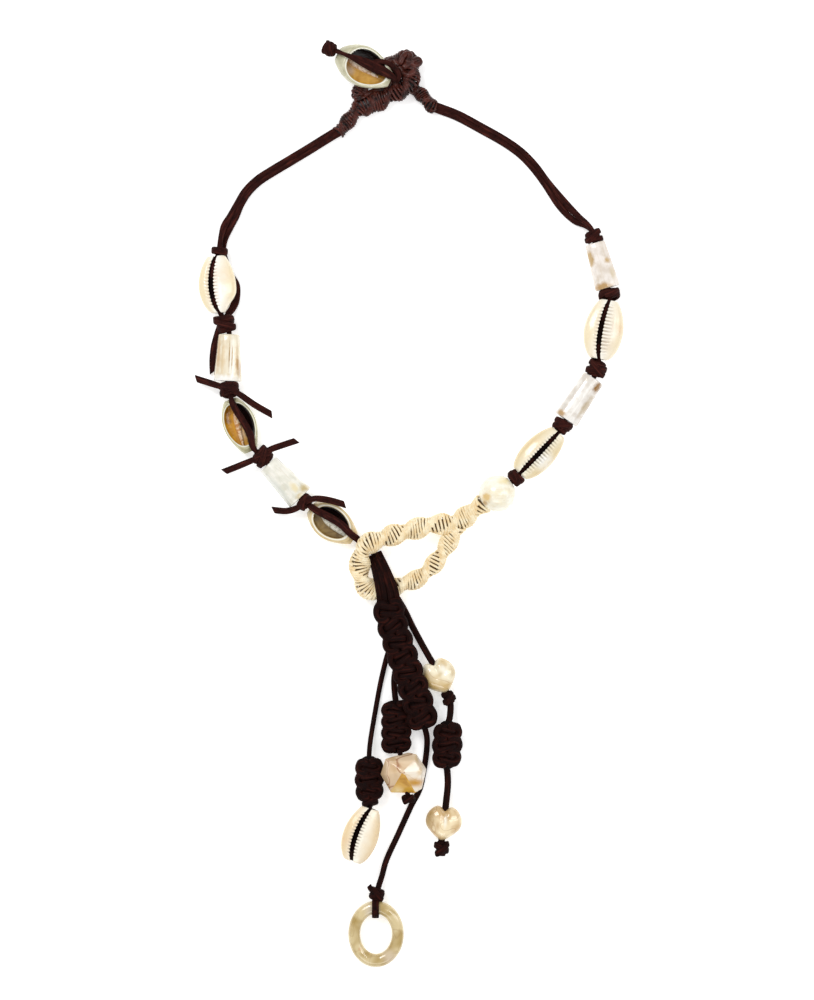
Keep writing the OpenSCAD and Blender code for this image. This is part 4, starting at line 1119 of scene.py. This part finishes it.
def heart(name, c, wide, long, thick, heading, look):
    """Puffed heart bead with a valley from the cleft towards its tip."""
    n, rings = 96, 22
    rows = [(-1, i) for i in range(rings - 1, 0, -1)] + [(1, i) for i in range(rings)]
    points = []
    for face, i in rows:
        rho = 1 - (i / rings) ** 1.5
        for a in (360 * j / n for j in range(n)):
            r = rho * heart_reach(min(a, 360 - a))
            x, y = r * math.sin(math.radians(a)) * wide / 2, r * math.cos(math.radians(a)) * long / 2
            valley = 0.24 * math.exp(-(x / 1.25) ** 2) * ease(-0.75, 0.75, 2 * y / long)
            points.append((x, y, face * thick / 2 * (1 - rho ** 2.4) ** 0.55 * (1 - valley)))
    middle = len(points)
    points += [(0, 0, -thick / 2 * 0.86), (0, 0, thick / 2 * 0.86)]
    faces = grid(len(rows), n)
    for j in range(n):
        faces.append((j, (j + 1) % n, middle))
        faces.append((middle - n + j, middle - n + (j + 1) % n, middle + 1))
    matrix = placed(c, heading + 90)
    piece = Piece().add([matrix @ Vector(p) for p in points], faces, None, points)
    piece.build(name, "bead", "honey_bead", look, sharp=80)


def honey_look(name, pale, gold, brown, size, lines, spots=()):
    """Polished honey stone: slow clouds of cream and gold with thin brown growth lines."""
    k = Look(name, Coat_Weight=0.8, Coat_Roughness=0.04, Specular_IOR_Level=0.55)
    cloud = k.noise(size, 1.5, 0.4, distort=0.4)
    flow = k.noise(size * 1.4, 1.0, 0.4, distort=0.8)
    color = k.ramp(cloud, (0.32, gold), (0.46, mid_tone(pale, gold)), (0.56, pale))
    color = k.over(color, brown, flow, (0.48, 0.0), (0.495, lines), (0.51, 0.0))
    color = k.stain(color, spots)
    return k.done(color, k.ramp(cloud, (0.3, 0.12), (0.7, 0.22)))


WHITE, MILK = rgb(246, 243, 232), rgb(226, 224, 208)
tube_bead("tube_l1", (-69.1, 65.2, 4.7), (-69.7, 47.4, 4.7), 6.8, 9,
          nacre_look("nacre_striped", rgb(240, 230, 206), rgb(226, 208, 174),
                     [((2, 1.4, 4), 2.0, (0.1, 1, 0.4), rgb(250, 246, 234), 0.9),
                      ((0, -1.7, 4), 1.3, (0.1, 1, 0.4), rgb(220, 194, 150), 0.7),
                      ((-1, 0.5, 4), 0.45, (0.04, 1, 0.2), rgb(176, 140, 88), 1.0),
                      ((0, 1.5, 4), 0.4, (0.04, 1, 0.2), rgb(186, 152, 100), 1.0),
                      ((2, 3.2, 3), 1.1, (0.2, 1, 0.3), rgb(190, 150, 94), 0.9),
                      ((-1, -3.4, 2), 1.6, (0.12, 1, 0.4), rgb(206, 172, 126), 0.8),
                      ((4, 4.4, 2), 2.6, (0.4, 1, 0.4), rgb(178, 138, 86), 0.7),
                      ((8.4, -1, 3), 3.4, (1, 0.3, 0.4), rgb(252, 250, 244), 1.0)]), 41)
tube_bead("tube_l2", (-54.2, 15.9, 4.7), (-42, 3.1, 4.7), 6.9, 9,
          nacre_look("nacre_white", WHITE, MILK,
                     [((4.4, 1.0, 4), 2.4, (0.6, 1, 0.4), rgb(236, 222, 180), 0.9),
                      ((7.2, 3.4, 3), 2.8, (0.9, 0.9, 0.4), rgb(196, 172, 112), 0.85),
                      ((8.2, 0.2, 4), 2.0, (1, 0.7, 0.4), rgb(202, 180, 126), 0.7),
                      ((0, -3.6, 2), 3.0, (0.2, 1, 0.4), rgb(216, 218, 208), 0.8)]), 42, sides=8)
tube_bead("tube_r1", (69.9, 99.9, 4.7), (74.8, 82.8, 4.7), 6.4, 8,
          nacre_look("nacre_patched", rgb(244, 236, 228), rgb(224, 212, 198),
                     [((-3.4, -3.2, 2), 2.6, (0.45, 1, 0.4), rgb(192, 160, 106), 0.95),
                      ((-1.2, 2.4, 3.4), 2.0, (0.9, 0.9, 0.4), rgb(200, 168, 118), 0.95),
                      ((8, -1.8, 3), 3.2, (1, 0.5, 0.4), rgb(186, 146, 88), 0.95),
                      ((4, 3.0, 3), 2.0, (0.4, 1, 0.4), rgb(214, 196, 160), 0.7)]), 43, sides=10)
tube_bead("tube_r2", (69.3, 48.5, 4.7), (58.8, 32.8, 4.7), 7.3, 8.2,
          nacre_look("nacre_cornered", rgb(246, 242, 236), rgb(222, 214, 204),
                     [((-7.2, 2.8, 3), 2.4, (0.5, 1, 0.4), rgb(146, 104, 44), 1.0),
                      ((1, 3.2, 3), 2.2, (0.25, 1, 0.4), rgb(190, 170, 136), 0.85),
                      ((8.4, -2.6, 3), 2.4, (1, 0.8, 0.4), rgb(184, 146, 92), 0.9)]), 44, sides=10)
ball("round_bead", (32.7, 4.75, 7), 14, (9.6, 7.2, 0),
     nacre_look("nacre_ball", rgb(254, 250, 234), rgb(248, 238, 210),
                [((-4.2, -1.6, 5.0), 3.4, (1, 1, 0.5), rgb(228, 192, 120), 0.9),
                 ((-4.6, -3.6, 3.5), 2.0, (1, 1, 0.5), rgb(176, 132, 62), 0.7),
                 ((2.4, 4.6, 3.5), 2.8, (0.6, 1, 0.5), rgb(244, 228, 178), 0.9)]))
# On both hearts the tan spots lie towards the side edges, and the white streak on top of each is a painted
# highlight.
heart("heart_upper", (10.5, -64.5, 3.7), 13.5, 13.8, 7.2, 295,
      honey_look("honey_heart", rgb(252, 242, 214), rgb(212, 182, 124), rgb(176, 132, 78), 5.5, 0.5,
                 [((-5.4, 0.5, 1), 4.2, (1, 0.6, 0.6), rgb(178, 148, 86), 0.85),
                  ((5.8, -1, 1), 3.2, (1, 0.6, 0.6), rgb(190, 160, 100), 0.7),
                  ((2.8, 1.5, 3.4), 2.6, (1.4, 0.7, 0.6), rgb(255, 252, 240), 0.8)]))
heart("heart_lower", (12.4, -120.2, 3.7), 14, 13.6, 7, 263,
      honey_look("honey_heart_low", rgb(246, 226, 186), rgb(208, 174, 122), rgb(164, 120, 76), 6.0, 0.5,
                 [((-5.6, 0.8, 1), 4.0, (1, 0.6, 0.6), rgb(168, 134, 76), 0.9),
                  ((5.4, -2, 1.4), 3.0, (1, 0.6, 0.6), rgb(200, 160, 100), 0.7),
                  ((-2.2, -1.5, 3.2), 2.4, (1.6, 0.7, 0.6), rgb(196, 158, 104), 0.7),
                  ((0.6, 0.5, 3.2), 2.4, (2.2, 0.6, 0.6), rgb(255, 250, 234), 0.9)]))


# Cut cowries, ring and faceted bead
def cut_open(rows, z_cut, lean):
    """Points, tints and faces of a cowrie laid slit down, cut open at z_cut, with its rim bevelled."""
    shell = cowrie_mesh(rows, Matrix.Translation((0, 0, CUT_SHELL_H)) @ Matrix.Rotation(math.pi, 4, "X"))
    work = bmesh.new()
    shade = work.verts.layers.float.new("shade")
    verts = [work.verts.new(p) for p in shell.points]
    for v, tone in zip(verts, shell.tints):
        v[shade] = tone
    for f in shell.faces:
        work.faces.new([verts[i] for i in f])
    plane, lay = Vector((0, 0, z_cut)), math.radians(lean)
    normal = Vector((math.sin(lay), 0, math.cos(lay)))
    got = bmesh.ops.bisect_plane(work, geom=work.verts[:] + work.edges[:] + work.faces[:], plane_co=plane,
                                 plane_no=normal, clear_outer=True)
    cut = [e for e in got["geom_cut"] if isinstance(e, bmesh.types.BMEdge) and e.is_boundary]
    rim = {v for f in bmesh.ops.bridge_loops(work, edges=cut)["faces"] for v in f.verts}
    edges = list({e for v in rim for e in v.link_edges if all(w in rim for w in e.verts) and not e.is_boundary
                  and len(e.link_faces) == 2 and e.calc_face_angle(0) > 0.6})
    bmesh.ops.bevel(work, geom=edges, offset=0.13, segments=2, affect="EDGES", profile=0.6)
    work.verts.index_update()
    points = [v.co.copy() for v in work.verts]
    tints = [min(max(v[shade], 0.0), 1.0) for v in work.verts]
    for i, p in enumerate(points):
        if (p - plane).dot(normal) > -0.2:
            tints[i] = RIM_OUT if tints[i] < 0.5 else RIM_IN
    faces = [tuple(v.index for v in f.verts) for f in work.faces]
    work.free()
    return points, tints, faces


def cut_cowrie(name, c, long, wide, heading, looks, column, lean=0, z_cut=CUT_H, wall=CUT_WALL):
    """Cowrie with its slit down and its back cut off, with its floor and the glossy column inside it.

    column: route in the shell's own frame, along, left and up from the table, then width and height.
    """
    inside, turn = placed(c, heading), placed((0, 0, 0), heading)
    rows = cowrie_rows(long, wide, CUT_SHELL_H, 2.4, 1.2, 5.2, 56, 120, wall=wall, e=0.85)
    points, tints, faces = cut_open(rows, z_cut, lean)
    piece = Piece().add([inside @ p for p in points], faces, tints, [turn @ p for p in points])
    start = len(points)
    floor = []
    for t in (0.1 + 0.8 * i / 24 for i in range(25)):
        s = full(t, 0.85)
        p = inside @ Vector(((t - 0.5) * long, 0, 2.15 - 0.5 * s))
        floor.append((*p, 1.2 + 3.4 * s))
    sweep(piece, floor, flat_section(4), lambda u: floor[round(u * 24)][3], 0.5, tint=INNER)
    path = spaced(curve([(*(inside @ Vector(p[:3])), *p[3:]) for p in column], 12), 0.4)
    m = len(path) - 1
    sweep(piece, path, circle(20, 0.5), lambda u: path[round(u * m)][3], lambda u: path[round(u * m)][4],
          slot=1)
    piece.locals[start:] = [tuple(p - Vector(c)) for p in piece.points[start:]]
    piece.build(name, "shell", "cowrie_shell", *looks, sharp=60)


def cut_look(name, wall, floor, deep, heading, shade_from, spots=()):
    """Cut cowrie: outer wall, white rim and a coloured glossy inside, with painted shade beyond shade_from to
    the left, where the inside lies deep under the far wall.
    """
    k = Look(name, Coat_Weight=0.5, Coat_Roughness=0.08, Specular_IOR_Level=0.5)
    tint = k.attribute()
    cloud = k.noise(3.0, 3.0, 0.5)
    outer = k.ramp(cloud, (0.35, wall[0]), (0.65, wall[1]))
    inner = k.ramp(k.noise(5.0, 2.0, 0.5, distort=0.8), (0.36, deep), (0.58, floor))
    inner = k.stain(inner, spots)
    x, y, z = k.split(k.local())
    turn = math.radians(heading)
    across = k.calc("SUBTRACT", k.calc("MULTIPLY", y, math.cos(turn)), k.calc("MULTIPLY", x, math.sin(turn)))
    ragged = k.calc("ADD", across, k.calc("MULTIPLY", k.calc("SUBTRACT", k.noise(2.0, 2.0), 0.5), 2.0))
    shade = k.calc("MULTIPLY_ADD", ragged, 0.5, 0.5 - 0.5 * shade_from)
    # Painted shade: near black over the side of the inside that lies deep under the far wall.
    inner = k.over(inner, rgb(20, 9, 8), shade, (0.3, 0.0), (0.7, 1.0))
    color = k.over(outer, inner, tint, (0.7, 0.0), (0.9, 1.0))
    color = k.over(color, rgb(246, 244, 232), tint, (0.44, 0.0), (0.52, 1.0), (0.6, 1.0), (0.7, 0.0))
    k.bump(k.noise(1.5, 3.0), 0.3, 0.35)
    return k.done(color, k.ramp(cloud, (0.3, 0.1), (0.7, 0.2)))


def column_look(name, pale, dark):
    """Glossy column inside a cut shell, pale with darker streaks along it."""
    k = Look(name, Coat_Weight=0.7, Coat_Roughness=0.05, Specular_IOR_Level=0.6)
    streak = k.noise(1.6, 4.0, 0.6, distort=1.0)
    k.bump(streak, 0.3, 0.3)
    return k.done(k.ramp(streak, (0.36, dark), (0.56, pale)), k.ramp(streak, (0.3, 0.16), (0.7, 0.1)))


COLUMN = [(-6.4, 0.3, 2.6, 1.4, 1.0), (-3.6, 0.2, 2.2, 2.9, 2.0), (0, -0.3, 2.1, 2.5, 2.0),
          (3.4, -0.6, 2.2, 1.8, 1.6), (6.6, -0.9, 2.8, 0.9, 0.8)]
L2_TURN, L3_TURN, TOGGLE_TURN = -68.7, -36, -27
cut_cowrie("cowrie_l2", (-64.9, 30.6, 0), 21.3, 12.6, L2_TURN,
           [cut_look("cut_amber", (rgb(210, 206, 168), rgb(180, 174, 132)), rgb(214, 156, 34),
                     rgb(180, 120, 20), L2_TURN, 0.6,
                     [((1.0, -3.0, 2.0), 3.5, (1, 1, 0.4), rgb(240, 206, 160), 0.7),
                      ((-4.6, 1.6, 3), 2.6, (1, 1.6, 0.4), rgb(132, 78, 18), 0.8)]),
            column_look("column_pink", rgb(244, 216, 180), rgb(196, 130, 60))],
           [(x + 1.6, y - 0.9, z, w * 0.8, h) for x, y, z, w, h in COLUMN])
cut_cowrie("cowrie_l3", (-29.9, -6.6, 0), 20.4, 13.6, L3_TURN,
           [cut_look("cut_olive", (rgb(224, 204, 158), rgb(206, 180, 130)), rgb(160, 132, 78),
                     rgb(118, 92, 50), L3_TURN, 0.5),
            column_look("column_silver", rgb(236, 232, 216), rgb(160, 150, 124))],
           [(x + 1.4, y + 0.2, z, w * 1.5, h) for x, y, z, w, h in COLUMN], wall=1.3)
cut_cowrie("toggle_shell", (-17.8, 166.3, 5.0), 22.6, 15.5, TOGGLE_TURN,
           [cut_look("cut_gold", (rgb(214, 210, 182), rgb(188, 184, 152)), rgb(220, 172, 78),
                     rgb(186, 132, 46), TOGGLE_TURN, 0.3,
                     [((-5.5, -1.0, 3), 3.0, (1, 1, 0.4), rgb(250, 226, 196), 0.8)]),
            column_look("column_rose", rgb(244, 226, 206), rgb(200, 156, 110))],
           [(x - 0.6, y, z, w * 1.15, h) for x, y, z, w, h in COLUMN], lean=8, z_cut=CUT_H + 0.8)


def oval_ring():
    """Polished oval ring, lying on the table under its fold of lace."""
    n, sides = 120, 24
    middle, a_long, b_long = Vector((-13.3, -162.8, 0)), 8.3, 10.2
    points = []
    for c, s in circle(n):
        centre = middle + Vector((a_long * c, b_long * s, 3.25 + 0.75 * s))
        out = Vector((-a_long * s, b_long * c, 0)).normalized().cross(UP)
        w, h = (4.6 + 0.5 * s ** 2) / 2, 4.6 / 2
        points += [centre + out * w * soft(x, 0.95) + UP * h * soft(y, 0.95) for x, y in circle(sides)]
    piece = Piece().add(points, grid(n, sides, True), None, [p - middle for p in points])
    # The whitish spot at the top of the ring, the first below, is a painted highlight.
    look = honey_look("honey_ring", rgb(218, 198, 150), rgb(178, 150, 86), rgb(150, 112, 60), 6.5, 0.3,
                      [((-2, 9.4, 4), 4.0, (1, 1, 0.5), rgb(220, 206, 186), 0.8),
                       ((5, -8.4, 3), 4.4, (1, 1, 0.5), rgb(226, 208, 184), 0.8),
                       ((-6.2, -5.6, 4), 1.2, (1, 1, 0.5), rgb(196, 132, 70), 0.8)])
    piece.build("ring", "stone", "honey_bead", look, sharp=80)


APEX = (-3.0, -100.4, 14.1)
CORNERS = [(-9.7, -95.6, 9.2), (-0.9, -93.4, 6.8), (2.1, -93.9, 9.0), (5.9, -99.6, 8.2), (4.2, -107.2, 7.6),
           (1.5, -108.8, 8.2), (-7.6, -108.7, 7.4), (-11.6, -101.7, 8.0), APEX, (-7.4, -97.0, 12.2),
           (1.4, -95.9, 12.3), (3.6, -100.4, 12.2), (-9.0, -101.6, 11.6), (-2.6, -102, 1), (-7.2, -98.4, 1.6),
           (1.6, -97.8, 1.6), (2.4, -104.6, 1.6), (-6.8, -105.6, 1.6), (3.4, -105.8, 9.6)]


def facet_kind(middle):
    """From where a facet's middle lies: 0 for the pink facets, 1 for the amber ones, 2 for the cream ones."""
    below = APEX[1] - middle.y
    if below > 2 and -0.7 * below < middle.x - APEX[0] < 0.62 * below:
        return 1
    return 2 if middle.x > -2.4 or middle.y < -105 else 0


def faceted_bead():
    """Large bead with flat facets that meet at an apex on top."""
    solid = bmesh.new()
    for p in CORNERS:
        solid.verts.new(p)
    bmesh.ops.convex_hull(solid, input=solid.verts[:])
    bmesh.ops.delete(solid, geom=[v for v in solid.verts if not v.link_faces], context="VERTS")
    bmesh.ops.dissolve_limit(solid, angle_limit=math.radians(3), verts=solid.verts[:], edges=solid.edges[:])
    bmesh.ops.bevel(solid, geom=solid.edges[:], offset=0.28, segments=2, affect="EDGES", profile=0.6)
    solid.verts.index_update()
    centre = Vector((-2.8, -101.3, 7.6))
    points = [v.co.copy() for v in solid.verts]
    faces = [tuple(v.index for v in f.verts) for f in solid.faces]
    solid.free()
    piece = Piece().add(points, faces, None, [p - centre for p in points])
    piece.slots = [facet_kind(sum((points[i] for i in f), Vector()) / len(f)) for f in faces]
    looks = [honey_look("honey_pink", rgb(230, 204, 170), rgb(206, 170, 124), rgb(156, 94, 52), 9.0, 0.9),
             honey_look("honey_amber", rgb(222, 172, 72), rgb(192, 136, 38), rgb(150, 98, 28), 4.0, 0.3,
                        [((-2.6, -6.8, 1), 3.6, (1, 1, 0.4), rgb(248, 220, 156), 0.9)]),
             honey_look("honey_cream", rgb(248, 236, 218), rgb(226, 190, 130), rgb(176, 128, 76), 6.0, 0.4,
                        [((4.4, -3.4, 3), 3.6, (0.5, 1.4, 0.4), rgb(202, 146, 48), 1.0),
                         ((3.0, 4.5, 4), 4.0, (1, 1, 0.4), rgb(224, 200, 166), 0.7)])]
    piece.build("faceted_bead", "stone", "honey_bead", *looks, sharp=24)


oval_ring()
faceted_bead()


# Stage
def stage():
    """Pale floor under the necklace, soft light all round and a camera straight above."""
    floor_mesh = bpy.data.meshes.new("floor")
    straight, rim = FLOOR_HALF - FLOOR_CORNER, []
    for cx, cy, start in ((1, 1, 0), (-1, 1, 90), (-1, -1, 180), (1, -1, 270)):
        for k in range(5):
            a = math.radians(start + 22.5 * k)
            rim.append((cx * straight + FLOOR_CORNER * math.cos(a),
                        cy * straight + FLOOR_CORNER * math.sin(a)))
    n = len(rim)
    points = [(x, y, 0.0) for x, y in rim] + [(x, y, -FLOOR_T) for x, y in rim]
    faces = [tuple(range(n))] + [(i, n + i, n + (i + 1) % n, (i + 1) % n) for i in range(n)]
    floor_mesh.from_pydata(points, [], faces)
    floor = new_object("floor", floor_mesh)
    k = Look("floor_paper", Specular_IOR_Level=0.1, Emission_Color=(1, 1, 1, 1), Emission_Strength=0.42)
    grain = k.noise(30.0, 3.0)
    floor_mesh.materials.append(k.done(k.ramp(grain, (0.3, 0.93), (0.7, 0.95)), 0.9))

    world = bpy.data.worlds.new("white_room")
    bpy.context.scene.world = world
    world.use_nodes = True
    back = world.node_tree.nodes["Background"]
    back.inputs["Color"].default_value = (1, 1, 1, 1)
    back.inputs["Strength"].default_value = WORLD

    for name, place, size, power in LAMPS:
        data = bpy.data.lights.new(name, "AREA")
        data.shape, data.size, data.size_y, data.energy = "RECTANGLE", size[0], size[1], power
        lamp = new_object(name, data)
        lamp.location = place
        lamp.rotation_euler = (-Vector(place)).to_track_quat("-Z", "Y").to_euler()

    data = bpy.data.cameras.new("camera")
    data.sensor_fit, data.sensor_height, data.clip_start, data.clip_end = "VERTICAL", SENSOR, 0.01, 20
    data.lens = CAMERA_FAR * SENSOR / FRAME_HEIGHT
    camera = new_object("camera", data)
    camera.location = (FRAME_X, FRAME_Y, MEAN_Z + CAMERA_FAR)
    bpy.context.scene.camera = camera
    bpy.context.scene.view_settings.view_transform = "Standard"


# Floor: half its side, the radius of its corners and its thickness, in metres
FLOOR_HALF, FLOOR_CORNER, FLOOR_T = 1.6, 0.02, 0.004
# Camera: its sensor in millimetres, its height above the middle of the beads, and the frame it sees there,
# in metres
SENSOR = 36
CAMERA_FAR = 1.2
FRAME_HEIGHT = 0.380
MEAN_Z = 0.0047
FRAME_X = (-1.52 - MID.x) * MM
FRAME_Y = (2.28 - MID.y) * MM
WORLD = 0.5
LAMPS = (
    ("lamp_high_left", (-0.55, 0.6, 1.0), (0.5, 0.5), 5.5),
    ("lamp_right", (0.8, 0.1, 0.8), (0.35, 0.9), 3.0),
    ("lamp_low", (-0.1, -0.9, 0.7), (0.9, 0.3), 2.0),
    ("lamp_spark", (-0.35, 0.45, 1.15), (0.11, 0.11), 1.1),
    ("lamp_glint", (0.4, -0.1, 1.2), (0.05, 0.3), 0.9),
)
stage()
